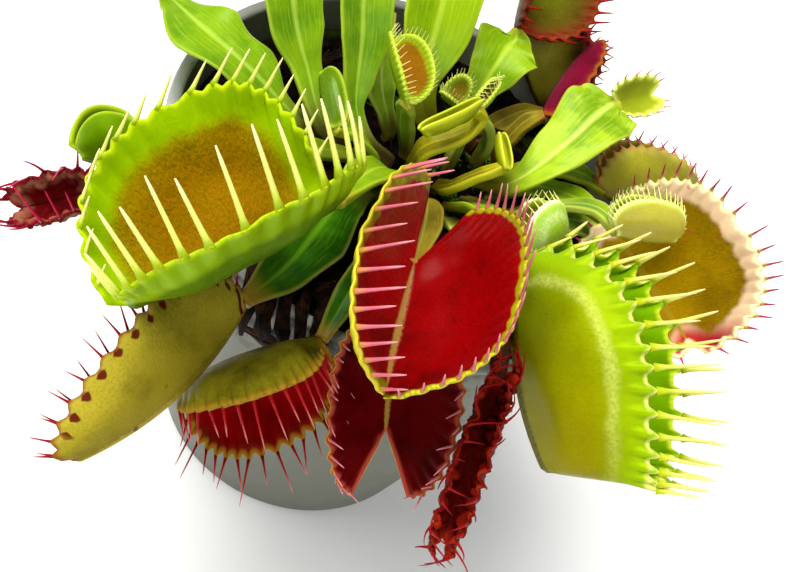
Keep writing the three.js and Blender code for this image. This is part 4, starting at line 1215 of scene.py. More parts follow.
LEAVES = [
    Leaf("leaf_lime_open", LIME_OPEN,
         Stalk((-1, -6), [(-3, -14, 80, 3), (-5, -24, 87, 3), (-6.5, -34, 90, 1.1)], 0.25, 15),
         Trap((-23, -54.5, 78), (-0.5, -0.1, 0.86), 38,
              Lobe(21, 18, 4.6, scallop=0.5, crest=1.6, over=(0, 0.08), ends=(0.2, 0.04), power=2.5,
                   skew=-0.1, aim=(0.19, 0.72, 0.66), aim_share=0.72),
              dict(width=17.5, teeth=15, tooth=8.6, radius=0.4, blunt=0.55, scallop=0.7, over=(0.08, 0),
                   ends=(0.65, 0.35), power=2.4, skew=0.0, aim=(-0.72, 0.35, 0.6), aim_share=0.8, fan=0.35,
                   crest=2), rows=20, lump=0.35, ribs=0.2, hem=False)),
    Leaf("leaf_round_shut", LIME_ROUND,
         Stalk((-7, -3), [(-16, -13, 75, 2.2), (-27, -24, 77.5, 2.4), (-34.5, -33, 77, 1)]),
         Trap((-40, -35.5, 77), (-0.34, 0.75, 0.56), 11,
              Lobe(8, 0, scallop=0, over=(0.25, 0.33), ends=(0.1, 0.1)),
              dict(width=6.6, over=(0.25, 0.17)), bulge=0.3, ribs=0)),
    Leaf("leaf_withered", WITHERED,
         Stalk((-9, -7), [(-16, -21, 74, 2), (-27, -32, 75.5, 1.6), (-36.5, -38.5, 75, 0.95)], 0.35),
         Trap((-44, -43, 70), (-0.15, -0.6, 0.78), 35,
              Lobe(4.5, 9, 6.5, curl=25, radius=0.2, wild=2),
              dict(width=6, teeth=10, tooth=5), crumple=0.7)),
    Leaf("leaf_khaki_shut", KHAKI_SHUT,
         Stalk((-4, -10), [(-7, -17, 73, 3.8), (-8, -28, 75.5, 5.2), (-9, -36, 76, 3.6),
                (-11.5, -43.5, 75, 1.1)], 0.15, -10),
         Trap((-20.5, -69.5, 65), (-0.94, 0.22, 0.27), 10,
              Lobe(9.7, 16, 4.4, radius=0.18, wild=1.6, over=(0.02, 0.04), ends=(0.14, 0.05), power=1.8,
                   skew=-0.2, scallop=0.5),
              dict(width=10.2, ends=(0.1, 0.05), skew=-0.15), bulge=0.26, arch=0.09, ribs=0, lump=0.3)),
    Leaf("leaf_low_red", LOW_RED,
         Stalk((1, -13), [(1, -25, 74.5, 2), (0.2, -35, 76, 2), (-0.2, -41.7, 73, 1)], 0.2),
         Trap((-13.2, -51.4, 62.8), (0.6, -0.8, 0.1), 37,
              Lobe(15, 18, 4.6, hook=45, radius=0.18, wild=2.5, over=(0, 0.03), ends=(0.33, 0.25), skew=-0.12,
                   scallop=0.6),
              dict(width=12.7, teeth=19, tooth=5.6, hook=10, scallop=0.7, over=(0.03, 0.08), ends=(0.2, 0.25),
                   skew=0.05), bulge=0.18)),
    Leaf("leaf_maroon_open", MAROON_OPEN,
         Stalk((6, -12), [(8, -24, 75, 2.2), (9, -35, 77, 2.2), (8.5, -41.5, 78, 1)], 0.2),
         Trap((13, -48, 70), (0.03, -0.77, 0.64), 68,
              Lobe(8.2, 14, 4.2, hook=85, curl=25, radius=0.18, wild=2, over=(0.35, 0.75), ends=(0.4, 0.5)),
              dict(width=10.5, teeth=16, over=(0.15, 0.75), ends=(0.35, 0.35), skew=-0.3), triggers=3)),
    Leaf("leaf_red_open", RED_OPEN,
         Stalk((3, -6), [(4, -14, 78, 2.4), (5, -24, 84, 2.6), (6, -34, 86, 1.1)]),
         Trap((9.5, -53.5, 85), (0.04, -0.04, 1), 39,
              Lobe(15, 17, 5.4, scallop=0.1, strip=1.5, over=(0.7, 0.05), ends=(0.1, 0.04), power=2, skew=0.3,
                   aim=(0.89, 0.32, 0.33), aim_share=0.75),
              dict(width=17.2, teeth=22, tooth=4, hook=35, radius=0.24, scallop=0.12, over=(0.35, 0.06),
                   ends=(0.42, 0), power=2.6, skew=0.0, aim_share=0.0, strip=0.55),
              rows=18, lump=0.25, hem=False, triggers=3)),
    Leaf("leaf_frilled_edge", FRILLED,
         Stalk((10, -10), [(16, -22, 75, 2), (20.7, -32.4, 80, 1.8), (22.9, -40.8, 81.1, 0.95)], 0.2),
         Trap((25.1, -59, 70.6), (-0.05, -0.7, 0.71), 26,
              Lobe(3.8, 22, 4, curl=35, radius=0.17, wild=3.5), crumple=0.9)),
    Leaf("leaf_lime_shut", LIME_SHUT,
         Stalk((8, -4), [(12, -11, 79, 2.2), (15.5, -18, 85, 2), (19.5, -23.5, 87, 1.1)]),
         Trap((34.5, -45.5, 75), (0.8, 0.26, 0.54), 18,
              Lobe(18, 16, 8.4, hook=12, radius=0.36, scallop=1.1, crest=7, over=(0, 0.1), ends=(0.1, 0.7),
                   power=1.8),
              dict(width=22, tooth=6, radius=0.38, blunt=0.45, scallop=1.2, over=(0.05, 0.1),
                   ends=(0.15, 0.6), power=1.9),
              bulge=0.2, arch=0.09, rows=20, lump=0.35, ribs=0, hem=False)),
    Leaf("leaf_ochre_open", OCHRE_OPEN,
         Stalk((13.2, 2), [(19, 4.3, 74.3, 2.4), (25, 3, 77.5, 2.4), (31, -1, 80, 1.1)]),
         Trap((49.5, -12.5, 76), (-0.13, -0.66, 0.74), 65,
              Lobe(11, 10, 3, radius=0.2, scallop=0.5, over=(0.02, 0.05), ends=(0.08, 0.05)),
              dict(width=16.5, teeth=20, tooth=3.8, radius=0.22, scallop=0.6, over=(0.09, 0.13),
                   ends=(0.07, 0.07), power=2.7), rows=16, lump=0.3, triggers=3)),
    Leaf("leaf_khaki_back", KHAKI_BACK,
         Stalk((13, 8), [(19, 10, 74, 2.2), (25, 11.5, 75.5, 2.2), (30.3, 11, 75, 1)]),
         Trap((45.8, 23, 72), (-0.34, 0.62, 0.7), 10,
              Lobe(9.5, 15, 2, radius=0.16, over=(0.1, 0.09), ends=(0.05, 0), skew=-0.1),
              dict(width=10.5), bulge=0.22, ribs=0)),
    Leaf("leaf_comb_small", PALE_COMB,
         Stalk((15, -2), [(21.5, -1.5, 77, 1.8), (27.5, -4.5, 84, 1.8), (31, -9, 86, 0.95)]),
         Trap((40, -4, 86), (-0.32, 0.57, 0.75), 16,
              Lobe(6.3, 24, 1.9, hook=10, radius=0.11, scallop=0.1, over=(0.15, 0.07), ends=(0.2, 0.05)),
              bulge=0.25, ribs=0)),
    Leaf("leaf_wedge", PALE_TIP,
         Stalk((10.6, 4.7), [(15.3, 0.2, 77, 2), (19.5, 6, 83, 4.4), (22.4, 13.6, 86, 6.4),
                (23.6, 16.4, 86.5, 5.6), (24.5, 18.5, 86.5, 0.95)], 0.12, 0, 0.5, 4),
         Trap((29.8, 24.8, 87), (0.34, -0.34, 0.88), 54, Lobe(4, 7, 1.8, radius=0.13))),
    Leaf("leaf_pale_small", PALE_SMALL,
         Stalk((10, -1), [(14, -5, 74, 1.8), (17.5, -11, 77, 1.6), (21, -15, 78, 0.95)]),
         Trap((25, -8, 78), (-0.6, 0.34, 0.72), 12,
              Lobe(8, 14, 1.7, hook=10, radius=0.11, scallop=0.1, over=(0, 0.2), ends=(0.3, 0.05)),
              bulge=0.28, ribs=0)),
    Leaf("leaf_dark_shut", DARK_SHUT,
         Stalk((7, 13), [(9.5, 18, 71.5, 2), (13, 24.5, 71.5, 1.8), (17, 28, 71, 1)]),
         Trap((7.2, 38, 75), (0.62, 0.29, 0.73), 14,
              Lobe(12.5, 12, 2, radius=0.18, over=(0, 0.15), ends=(0.1, 0.1), skew=0.2),
              dict(over=(0, 0.05)), bulge=0.18, ribs=0)),
    Leaf("leaf_dark_pointed", DARK_POINTED,
         Stalk((12, 13), [(12.5, 14, 74, 1.6), (13.6, 15, 77.5, 1.5), (15.5, 16, 79.5, 0.95)]),
         Trap((18.4, 34.6, 84), (0.94, -0.2, 0.29), 14,
              Lobe(4.6, 10, 1.6, radius=0.16, over=(0, 0.06), ends=(0.3, 0.05), power=1.8),
              bulge=0.2, ribs=0)),
    Leaf("leaf_tall_left", TALL_GREEN,
         Stalk((-15.5, -2.5), [(-20, -8, 75.5, 1.7), (-28, -8.5, 80, 5.2), (-36.5, -6.5, 81, 6.2),
                (-43.5, -2, 79, 2.5), (-46.5, 0, 78, 1)], 0.12, 0, 0.7, 4),
         Trap((-62, 10, 72), (-0.2, -0.5, 0.85), 25, Lobe(11, 13, 3.8))),
    Leaf("leaf_tall_mid", TALL_GREEN,
         Stalk((-11, -3), [(-16, -6.5, 76, 1.5), (-21.5, -2, 80, 2.8), (-25.5, 0.5, 84, 4.8),
                (-29, 4, 88, 5.4), (-34, 12, 91, 3), (-36.5, 16, 92, 1)], 0.15),
         Trap((-46, 32, 90), (-0.3, -0.5, 0.8), 30, Lobe(12, 13, 3.8))),
    Leaf("leaf_tall_folded", TALL_GREEN,
         Stalk((-4, -1), [(-8.5, -4.5, 75, 1.2), (-12, -3, 78, 1.4), (-14, -0.5, 82, 2.8), (-16, 3, 86, 4.4),
                (-18.5, 6.5, 90, 4.6), (-21.5, 12, 95, 2.4), (-24, 18, 97, 1)], 0.5),
         Trap((-27, 44, 93), (-0.1, -0.4, 0.9), 34, Lobe(12, 13, 3.4))),
    Leaf("leaf_tall_right", TALL_LIME,
         Stalk((1, 9), [(-5, 9, 78, 3), (-7, 15, 86, 6), (-9.5, 23, 92, 6.6), (-11, 31.5, 95, 2.6),
                (-11.5, 35.5, 95, 1)], 0.2, 0, 0.4, 4),
         Trap((-6, 50, 90), (0, -0.3, 0.95), 32, Lobe(12, 13, 3.4))),
    Leaf("leaf_short_wedge", OVERHEAD,
         Stalk((5, 10), [(4, 15.5, 76, 2), (4.5, 19, 81, 4.4), (5, 23, 83, 6), (5.5, 25, 83.5, 3),
                (5, 26.5, 84.5, 0.95)], 0.15, 0, 0.5, 4),
         Trap((2.5, 39, 92), (0.75, -0.2, 0.6), 40,
              Lobe(13, 13, 3, radius=0.22, over=(0, 0.1), ends=(0.2, 0.3), power=2),
              dict(width=5, teeth=9, ends=(0.3, 0.3), power=2.2))),
    Leaf("leaf_bud_shut", BUD_SHUT,
         Stalk((-4.5, -5.5), [(-7, -8.5, 77, 1.8), (-10.5, -12, 81.5, 1.6), (-12.5, -14.5, 83, 0.95)]),
         Trap((-18, -7, 85), (0.77, 0.45, 0.45), 14,
              Lobe(3.4, 0, scallop=0, over=(0, 0.05), ends=(0.2, 0.2)), bulge=0.35, ribs=0)),
    Leaf("leaf_young_orange", YOUNG_ORANGE,
         Stalk((-2, 3), [(-4, 0, 77, 1.8), (-5, -3.5, 83, 1.8), (-5, -5.5, 86, 0.95)]),
         Trap((-11.5, 3, 88), (0.27, -0.02, 0.96), 33,
              Lobe(6, 20, 1.5, radius=0.09, scallop=0.1, over=(0.05, 0.04), ends=(0.12, 0.2)),
              dict(width=5, teeth=18, tooth=2, radius=0.1))),
    Leaf("leaf_young_small", YOUNG_PALE,
         Stalk((5, 5), [(4.8, 6.2, 74, 1.2), (4.2, 6.8, 77.5, 1.1), (2.6, 7, 80, 0.95)]),
         Trap((-1, 7.6, 80.3), (-0.06, -0.19, 0.98), 31,
              Lobe(5, 14, 1.7, radius=0.09, scallop=0.1, over=(0.05, 0.15), ends=(0.1, 0.1)),
              dict(width=3.4, tooth=1.5))),
    Leaf("leaf_young_pale", YOUNG_PALE,
         Stalk((9, 9), [(9, 8.6, 75, 1.3), (7.4, 7, 79.5, 1.1), (4.4, 5, 82, 0.9)]),
         Trap((5.5, 11.2, 83.5), (0.1, 0.2, 0.97), 14,
              Lobe(3, 14, 1.8, radius=0.09, scallop=0.1, over=(0.05, 0.1), ends=(0.1, 0.1)), bulge=0.25)),
    Leaf("leaf_young_tiny", LOOPED,
         Stalk((5, -1), [(6.8, -4.2, 74, 1.4), (9.6, -3.5, 78, 1.4), (12.5, -1.2, 80, 0.9)], 0.2),
         Trap((9.8, 2.7, 81.5), (0.3, -0.3, 0.9), 16, Lobe(2.2, 0, scallop=0), bulge=0.3)),
    Leaf("leaf_looped", LOOPED,
         Stalk((0, -2), [(0, -4, 75, 1.5), (0.4, -4.5, 79, 2), (4, -1, 81, 1.7), (5.6, 1.6, 82, 1.2),
                (6, 2.6, 83.8, 1), (4.4, 1.2, 85.4, 0.95)], 0.1),
         Trap((-0.5, -8.4, 85), (-0.3, 0.3, 0.9), 16, Lobe(2.3, 0, scallop=0), bulge=0.3)),
    Leaf("leaf_narrow_front", NARROW,
         Stalk((9, -7), [(12, -12, 74, 2.6), (16, -17, 76, 3), (20, -21, 76, 0.95)], 0.2)),
    Leaf("leaf_narrow_right", NARROW,
         Stalk((17, 0), [(23, 1, 73, 2.8), (29, 3, 74, 3.4), (34, 5, 74, 0.95)], 0.2)),
    Leaf("leaf_narrow_rear", NARROW,
         Stalk((-6, 5), [(-8, 4.5, 74, 1.5), (-10.5, 5, 78, 2.6), (-13, 8.5, 82, 2.6),
                (-14.5, 13.5, 85, 0.95)], 0.2)),
]

# Dead stalk remains, and one dark strip of painted shade under the pot's lip: the points of each, half its
# width and half its thickness, in millimetres.
REMAINS_AND_SHADE_STRIP = [
    ([(-17, -27, 69.5), (-16.6, -34.5, 72.9), (-16, -37.8, 70), (-15.2, -38.6, 65)], 1.3, 0.3),
    ([(-14, -29, 69.5), (-12.5, -36.5, 72.9), (-11.5, -40, 70), (-10.5, -40.8, 64)], 1.5, 0.3),
    ([(-11, -30, 70), (-10, -37.6, 72.9), (-8.5, -40.9, 70), (-7.5, -41.3, 66)], 1.6, 0.3),
    ([(-8, -31, 70), (-7, -38.4, 72.9), (-5.5, -41.2, 70), (-3.5, -41.6, 65.5)], 1.2, 0.3),
    ([(-5.5, -30, 70), (-4.5, -38, 72.9), (-3, -41.2, 70.5), (-1.5, -41.9, 67)], 1.0, 0.3),
    ([(-3, -30, 70), (-1.5, -38.5, 72.9), (0, -41, 70), (1.5, -41.4, 65)], 1.4, 0.3),
    # A dark strip hanging on the pot's front wall under the lip: painted shadow, standing in for the shade
    # under the lip.
    ([(-12, -36.2, 60), (-8, -37.4, 61), (-4, -39, 63), (0, -41, 66.5), (3, -41, 68)], 0.3, 1.7),
    ([(-20, -22, 69), (-16, -27, 71), (-11, -30, 70.5), (-6, -31, 69.5)], 0.9, 0.3),
    ([(-2, -16, 69), (-6, -22, 71.5), (-11, -26, 71), (-16, -29, 69.5)], 0.8, 0.3),
    ([(4, -22, 69), (2, -28, 72), (-3, -32, 71), (-6, -34, 69.5)], 0.9, 0.3),
    ([(-24, 8, 69), (-20, 14, 72), (-14, 18, 73), (-8, 20, 69.5)], 0.7, 0.3),
    ([(2, 10, 69), (8, 14, 73), (15, 15, 72), (22, 12, 69.5)], 0.7, 0.3),
    ([(12, -8, 69), (18, -12, 72), (24, -12, 71), (29, -9, 69)], 0.7, 0.3),
]
# Patches of moss: the middle of each and how far it spreads.
MOSS = [(-1, -31, 2.2), (-12, -28, 1.6), (12, 8, 3.0), (8, -2, 2.5), (-8, 12, 2.0)]


def inside_radius(z: float) -> float:
    """Inside radius of the pot at a height."""
    return BASE_RADIUS + (RIM_RADIUS - LIP_DEPTH - BASE_RADIUS) * z / POT_HEIGHT - WALL


@dataclass(frozen=True)
class PotPlastic:
    """Thin grey moulded plastic, scuffed, with peat smears and painted shade below the front of the rim and a
    painted highlight on the rim's top.

    Attributes:
        base: Main grey.
        light: Colour of the rubbed places.
        peat_smear_and_shade: Colour of the peat smears, which also paints shade below the front of the rim.
        lit_rim_top: Painted highlight colour of the rim's top.
    """

    base: str = "626458"
    light: str = "6c6e62"
    peat_smear_and_shade: str = "1e160c"
    lit_rim_top: str = "a8aaa4"

    def make(self, name: str) -> Material:
        """Lays the material.

        Args:
            name: Its name.

        Returns:
            The material.
        """
        bench = Bench(name)
        where = bench.where()
        _, depth, height = bench.split(where)
        cloud = bench.noise(where, 60.0, 4.0, 0.6)
        colour = bench.mix(bench.step(cloud, 0.3, 0.8), tint(self.base), tint(self.light))
        # Darker on the front wall below the rim: partly peat smears, partly painted shade under the lip.
        front = bench.step(depth, -36 * MM, -26 * MM, (1.0, 0.12))
        smear_and_shade_mask = bench.times(bench.step(bench.noise(where, 260.0, 5.0, 0.7), 0.42, 0.62), front)
        smear_and_shade_mask = bench.times(bench.times(smear_and_shade_mask, bench.step(height, 40 * MM, PEAT_EDGE * MM)), 0.75)
        colour = bench.coat(smear_and_shade_mask, colour, self.peat_smear_and_shade)
        # A painted highlight: the rim's top is lighter as if lit from above.
        top = bench.step(height, (POT_HEIGHT - 0.8) * MM, (POT_HEIGHT - 0.2) * MM, (0.0, 0.8))
        colour = bench.coat(top, colour, self.lit_rim_top)
        normal = bench.bump(bench.noise(where, 2400.0, 3.0, 0.6), 0.25, 0.0001)
        normal = bench.bump(bench.noise(where, 150.0, 2.0), 0.2, 0.0003, normal)
        return bench.finish(colour, bench.step(cloud, 0.3, 0.7, (0.34, 0.5)), normal, Specular_IOR_Level=0.2)


@dataclass(frozen=True)
class PeatSoil:
    """Dark wet peat.

    Attributes:
        base: Main brown.
        light: Colour of dry crumbs.
        moss: Colour of the algae.
    """

    base: str = "0a0604"
    light: str = "24140c"
    moss: str = "243a04"

    def make(self, name: str) -> Material:
        """Lays the material.

        Args:
            name: Its name.

        Returns:
            The material.
        """
        bench = Bench(name)
        where = bench.where()
        cloud = bench.noise(where, 140.0, 5.0, 0.65)
        colour = bench.mix(bench.step(cloud, 0.4, 0.7), tint(self.base), tint(self.light))
        green = bench.times(bench.step(bench.noise(where, 70.0, 3.0), 0.56, 0.68), 0.6)
        normal = bench.bump(bench.cells(where, 520.0), 0.9, 0.0008)
        normal = bench.bump(bench.noise(where, 1500.0, 4.0, 0.7), 0.7, 0.0004, normal)
        colour = bench.coat(green, colour, self.moss)
        return bench.finish(colour, bench.step(cloud, 0.3, 0.7, (0.55, 0.9)), normal, Specular_IOR_Level=0.03)


@dataclass(frozen=True)
class Scraps:
    """Small bits that lie on the peat.

    Attributes:
        dark: Main colour.
        light: Colour of the paler bits.
        lumps: Patches of colour per metre.
    """

    dark: str
    light: str
    lumps: float = 400.0

    def make(self, name: str) -> Material:
        """Lays the material.

        Args:
            name: Its name.

        Returns:
            The material.
        """
        bench = Bench(name)
        where = bench.where()
        cloud = bench.noise(where, self.lumps, 3.0, 0.6)
        colour = bench.mix(bench.step(cloud, 0.42, 0.66), tint(self.dark), tint(self.light))
        normal = bench.bump(bench.noise(where, 2600.0, 2.0), 0.5, 0.0002)
        rough = bench.step(cloud, 0.3, 0.7, (0.45, 0.85))
        return bench.finish(colour, rough, normal, Specular_IOR_Level=0.08)


@dataclass
class Pot:
    """The pot as one turned moulding with a lip and drain holes.

    Attributes:
        segments: Parts round the axis.
        drains: How many drain holes.
        drain_radius: Their radius, in millimetres.
        drain_ring: Radius of the ring that they lie on.
        skin: Its plastic.
    """

    segments: int = 144
    drains: int = 6
    drain_radius: float = 2.2
    drain_ring: float = 17.0
    skin: PotPlastic = field(default_factory=PotPlastic)

    def build(self) -> bpy.types.Object:
        """Turns the wall, then cuts the drain holes.

        Returns:
            The piece.
        """
        foot = POT_HEIGHT - LIP_HEIGHT
        at_lip = inside_radius(foot) + WALL
        top_in = inside_radius(POT_HEIGHT)
        mould = Mould()
        mould.turn([
            (0, 0.9), (12, 0.9), (24.6, 0.9), (25.4, 0.0), (BASE_RADIUS - 0.9, 0), (BASE_RADIUS - 0.2, 0.3),
            (BASE_RADIUS + 0.05, 1.0), (29.4, 8), (at_lip - 0.25, foot - 2.0), (at_lip, foot - 0.3),
            (at_lip + 0.35, foot), (RIM_RADIUS - 0.6, foot + 0.15), (RIM_RADIUS - 0.25, foot + 0.6),
            (RIM_RADIUS - 0.05, POT_HEIGHT - 1.0), (RIM_RADIUS - 0.15, POT_HEIGHT - 0.3),
            (RIM_RADIUS - 0.5, POT_HEIGHT), (top_in + 0.5, POT_HEIGHT), (top_in + 0.1, POT_HEIGHT - 0.35),
            (top_in, POT_HEIGHT - 0.9), (inside_radius(40), 40), (inside_radius(FLOOR) + 0.1, FLOOR + 1.2),
            (inside_radius(FLOOR) - 0.8, FLOOR), (12, FLOOR), (0, FLOOR),
        ], self.segments)
        for f in mould.bm.faces:
            f.smooth = True
        made = mould.piece("grey_pot", [self.skin.make("pot_plastic_grey")])
        self.drill(made)
        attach(made, "root")
        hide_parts("pot")
        log.info("%s: %d faces", made.name, len(made.data.polygons))
        return made

    def drill(self, pot: bpy.types.Object) -> None:
        """Cuts the drain holes through the pot's floor.

        Args:
            pot: The turned pot.
        """
        mould = Mould()
        for a in (2 * math.pi * k / self.drains for k in range(self.drains)):
            at = Matrix.Translation((self.drain_ring * math.cos(a), self.drain_ring * math.sin(a), 1.0))
            bmesh.ops.create_cone(mould.bm, cap_ends=True, segments=24, radius1=self.drain_radius,
                                  radius2=self.drain_radius, depth=6.0, matrix=at)
        bores = mould.piece("bores", [])
        cut = pot.modifiers.new("drains", "BOOLEAN")
        cut.operation = "DIFFERENCE"
        cut.object = bores
        whole, pins = pot.data, bores.data
        solid = bpy.data.meshes.new_from_object(pot.evaluated_get(bpy.context.evaluated_depsgraph_get()))
        pot.modifiers.remove(cut)
        pot.data = solid
        bpy.data.objects.remove(bores)
        for mesh in (whole, pins):
            bpy.data.meshes.remove(mesh)


@dataclass
class Peat:
    """The peat's crumbly top and plain sides, with moss, the remains of dead stalks, and a dark strip of
    painted shade under the pot's front lip.

    Attributes:
        rings: Parts from the middle to the edge.
        sectors: Parts round the axis.
        crumbs: Loose crumbs.
        crumb: Smallest and largest radius of a crumb, in millimetres.
        fibres: Thin fibres.
        fibre: Shortest and longest fibre, in millimetres.
        tufts: Tufts of moss.
        skin: The peat itself.
        litter: The dead stalks and fibres, and the dark strip of painted shade under the lip.
        moss: The moss.
    """

    rings: int = 46
    sectors: int = 150
    crumbs: int = 520
    crumb: tuple[float, float] = (0.4, 1.25)
    fibres: int = 240
    fibre: tuple[float, float] = (2, 7)
    tufts: int = 150
    skin: PeatSoil = field(default_factory=PeatSoil)
    litter: Scraps = field(default_factory=lambda: Scraps("0c0603", "3a2010"))
    moss: Scraps = field(default_factory=lambda: Scraps("1a3004", "4c7410", 700.0))

    def height(self, x: float, y: float) -> float:
        """Height of the surface.

        Args:
            x: Place in millimetres.
            y: Place in millimetres.

        Returns:
            The height in millimetres.
        """
        r = math.hypot(x, y) / RIM_RADIUS
        lumps = math.sin(0.5 * x + 1) * math.cos(0.45 * y) + 0.5 * math.sin(1.1 * x - 0.7 * y)
        fine = noise.noise(Vector((x, y, 0)) * 0.45) * 0.9 + noise.noise(Vector((x, y, 5)) * 1.4) * 0.45
        fade = 1 - min(1.0, r) ** 4
        return PEAT_CROWN + (PEAT_EDGE - PEAT_CROWN) * min(1, r * r) + (PEAT_LUMP * lumps + fine) * fade

    def strand(self, mould: Mould, path: list[Point], wide: float, thick: float) -> None:
        """Lays one dark strand; fibres, dead stalks and the strip of painted shade under the lip are all laid
        so.

        Args:
            mould: Where it goes.
            path: Points that it passes through, in millimetres.
            wide: Half its width.
            thick: Half its thickness.
        """
        curve = Curve(path)
        t = np.linspace(0, 1, 13)
        line = np.array([curve.at(k) for k in t])
        heading = unit(line[-1] - line[0])
        side = unit(np.cross(heading, (0.02, 0.01, 1.0)))
        shape = (1 - 0.8 * np.abs(2 * t - 1) ** 3) * (1 + 0.25 * np.sin(t * 23 + line[0, 0]))
        mould.spike(line, (side, unit(np.cross(side, heading))), (wide * shape, thick * shape), Litter.DEAD)

    def strew(self, mould: Mould, reach: float, rng: random.Random) -> None:
        """Strews fibres, dead stalks, the dark strip of painted shade under the lip, and moss.

        Args:
            mould: Where they go.
            reach: How far from the middle they lie, in millimetres.
            rng: Its unevenness.
        """
        for _ in range(self.fibres):
            r, a = reach * math.sqrt(rng.random()), rng.uniform(0, 2 * math.pi)
            x, y = r * math.cos(a), r * math.sin(a)
            turn, length = rng.uniform(0, 2 * math.pi), rng.uniform(*self.fibre)
            path = [(x, y, self.height(x, y) + 0.2)]
            for _ in range(2):
                turn += rng.uniform(-0.7, 0.7)
                x, y = x + length / 2 * math.cos(turn), y + length / 2 * math.sin(turn)
                path.append((x, y, self.height(x, y) + rng.uniform(0.2, 1.6)))
            if math.hypot(x, y) < reach:
                self.strand(mould, path, rng.uniform(0.08, 0.25), FIBRE_RADIUS)
        for path, wide, thick in REMAINS_AND_SHADE_STRIP:
            self.strand(mould, path, wide, thick)
            for _ in range(5):
                loose = [(x + rng.uniform(-1, 1), y + rng.uniform(-1, 0.4), z + rng.uniform(0, 1))
                         for x, y, z in path]
                self.strand(mould, loose, rng.uniform(0.08, 0.2), FIBRE_RADIUS)
        blade = 0.28 * np.array((1, 1.2, 1, 0.7, 0.2))
        for _ in range(self.tufts):
            cx, cy, spread = rng.choice(MOSS)
            x, y = rng.gauss(cx, spread), rng.gauss(cy, spread)
            if math.hypot(x, y) < reach:
                foot = np.array((x, y, self.height(x, y)))
                for _ in range(5):
                    way = np.array((rng.uniform(-1, 1), rng.uniform(-1, 1), rng.uniform(0.6, 1.6)))
                    line = foot + np.outer(np.linspace(0, 1, 5), way * rng.uniform(0.6, 1.5))
                    mould.spike(line, (np.array((1.0, 0, 0)), np.array((0, 1.0, 0))), (blade, blade),
                                Litter.MOSS)

    def crumble(self, bm: bmesh.types.BMesh, reach: float, rng: random.Random) -> None:
        """Strews uneven crumbs.

        Args:
            bm: The mesh that they go into.
            reach: How far from the middle they lie, in millimetres.
            rng: Its unevenness.
        """
        for _ in range(self.crumbs):
            r, a = reach * math.sqrt(rng.random()) * 0.96, rng.uniform(0, 2 * math.pi)
            x, y = r * math.cos(a), r * math.sin(a)
            size = rng.uniform(*self.crumb)
            lump = bmesh.ops.create_icosphere(bm, subdivisions=1, radius=size)["verts"]
            turn = Matrix.Rotation(rng.uniform(0, 6), 4, "Z")
            turn = turn @ Matrix.Diagonal((1, rng.uniform(0.5, 1), 0.6, 1))
            for v in lump:
                v.co += Vector((rng.uniform(-1, 1), rng.uniform(-1, 1), rng.uniform(-1, 1))) * size * 0.2
            at = Matrix.Translation((x, y, self.height(x, y) + size * 0.2))
            bmesh.ops.transform(bm, matrix=at @ turn, verts=lump)

    def build(self, tube: bpy.types.Mesh) -> bpy.types.Object:
        """Turns the body, heaps its top and strews crumbs.

        Args:
            tube: The tube that a strand is bent from.

        Returns:
            The piece.
        """
        edge = inside_radius(PEAT_EDGE) - PEAT_GAP
        foot = FLOOR + PEAT_GAP
        mould = Mould(tube)
        top = [((edge - 0.8) * (1 - k / self.rings), PEAT_EDGE) for k in range(self.rings + 1)]
        side = [(0, foot), (inside_radius(foot) - PEAT_GAP, foot), (edge, PEAT_EDGE - 0.5)]
        mould.turn(side + top, self.sectors)
        for v in mould.bm.verts:
            if v.co.z > PEAT_EDGE - 0.1:
                v.co.z = self.height(v.co.x, v.co.y)
        rng = random.Random(PEAT_SEED)
        self.crumble(mould.bm, edge, rng)
        for f in mould.bm.faces:
            f.smooth = True
        self.strew(mould, inside_radius(PEAT_EDGE) - 1.5, rng)
        made = mould.piece("peat_bed", [self.skin.make("peat_dark"), self.litter.make("dead_stalk_and_shade_strip"),
                                        self.moss.make("moss_green")])
        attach(made, "root")
        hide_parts("peat")
        log.info("%s: %d faces", made.name, len(made.data.polygons))
        return made


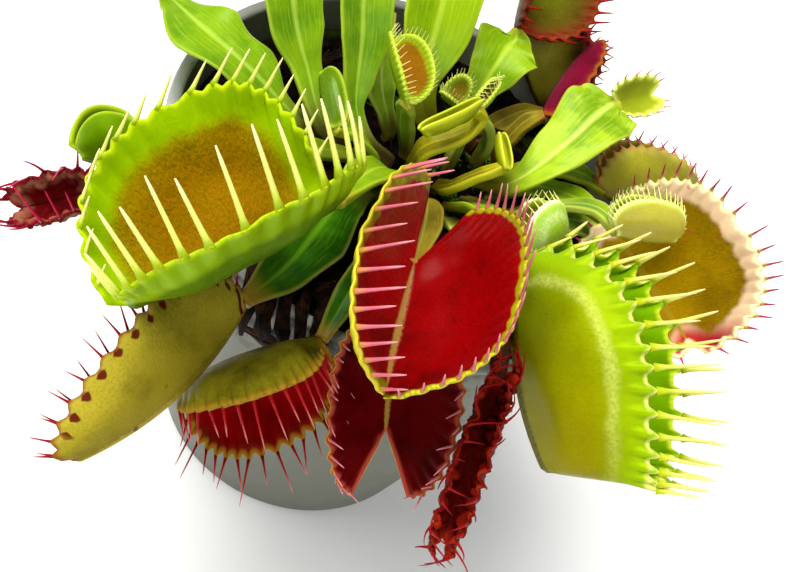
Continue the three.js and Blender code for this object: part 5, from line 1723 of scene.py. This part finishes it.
@dataclass
class Studio:
    """Floor, lights and camera.

    Attributes:
        eye: The camera's place, in millimetres.
        target: What it looks at.
        roll: Degrees that it is tilted sideways.
        lens: Its focal length, in millimetres.
        sensor: Its sensor's width.
        surround: Strength of the light from all sides.
        lights: Name, place, width, power and colour of each lamp, in metres and watts.
    """

    eye: Point = (0.0, -132.0, 191.0)
    target: Point = (7.0, -15.0, 60.0)
    roll: float = 30.0
    lens: float = 49.5
    sensor: float = 36.0
    surround: float = 0.22
    lights: tuple[tuple[str, Point, float, float, Point], ...] = (
        ("key", (-0.35, 0.05, 1.1), 0.9, 21.0, (1.0, 0.98, 0.95)),
        ("front", (0.45, -0.85, 0.75), 0.8, 6.0, (0.97, 0.99, 1.0)),
        ("side", (-0.95, -0.35, 0.6), 0.7, 4.0, (1.0, 1.0, 0.98)),
    )

    def build(self) -> None:
        """Sets everything up."""
        self.add_floor()
        self.add_lights()
        self.add_camera()

    def add_camera(self) -> None:
        """The camera at the photograph's place and tilt."""
        eye, target = Vector(self.eye), Vector(self.target)
        ahead = (target - eye).normalized()
        right = ahead.cross(Vector((0, 0, 1))).normalized()
        up = right.cross(ahead)
        c, s = math.cos(math.radians(self.roll)), math.sin(math.radians(self.roll))
        data = bpy.data.cameras.new("camera")
        data.lens = self.lens
        data.sensor_width = self.sensor
        data.sensor_fit = "HORIZONTAL"
        data.clip_start = 0.005
        camera = bpy.data.objects.new("camera", data)
        turn = Matrix((right * c + up * s, up * c - right * s, -ahead)).transposed().to_4x4()
        camera.matrix_world = Matrix.Translation(eye * MM) @ turn
        bpy.context.scene.collection.objects.link(camera)
        bpy.context.scene.camera = camera

    def add_floor(self) -> None:
        """A wide pale floor."""
        bm = bmesh.new()
        bmesh.ops.create_grid(bm, x_segments=4, y_segments=4, size=3.0)
        mesh = bpy.data.meshes.new("floor")
        bm.to_mesh(mesh)
        bm.free()
        bench = Bench("floor_paint")
        colour = bench.mix(bench.noise(bench.where(), 2.0), tint("f6f6f6"), tint("fcfcfc"))
        mesh.materials.append(bench.finish(colour, 0.9))
        floor = bpy.data.objects.new("floor", mesh)
        bpy.context.scene.collection.objects.link(floor)

    def add_lights(self) -> None:
        """Soft light from above and a pale surround."""
        world = bpy.data.worlds.new("surround")
        world.use_nodes = True
        colour, strength = world.node_tree.nodes["Background"].inputs[:2]
        colour.default_value = (1.0, 1.0, 1.0, 1.0)
        strength.default_value = self.surround
        bpy.context.scene.world = world
        for name, place, size, power, tone in self.lights:
            data = bpy.data.lights.new(name, "AREA")
            data.shape, data.size, data.energy, data.color = "DISK", size, power, tone
            light = bpy.data.objects.new(name, data)
            aim = Vector((0, -0.01, 0.08)) - Vector(place)
            light.matrix_world = Matrix.Translation(place) @ aim.to_track_quat("-Z", "Y").to_matrix().to_4x4()
            bpy.context.scene.collection.objects.link(light)
        bpy.context.scene.view_settings.view_transform = "Standard"


def main() -> None:
    """Builds the whole plant, its pot and the studio."""
    logging.basicConfig(level=logging.INFO, format="%(name)s %(message)s")
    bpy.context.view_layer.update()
    Studio().build()
    Pot().build()
    tube = make_tube()
    Peat().build(tube)
    for seed, leaf in enumerate(LEAVES):
        leaf.build(tube, seed)
    bpy.data.meshes.remove(tube)


if __name__ == "__main__":
    main()
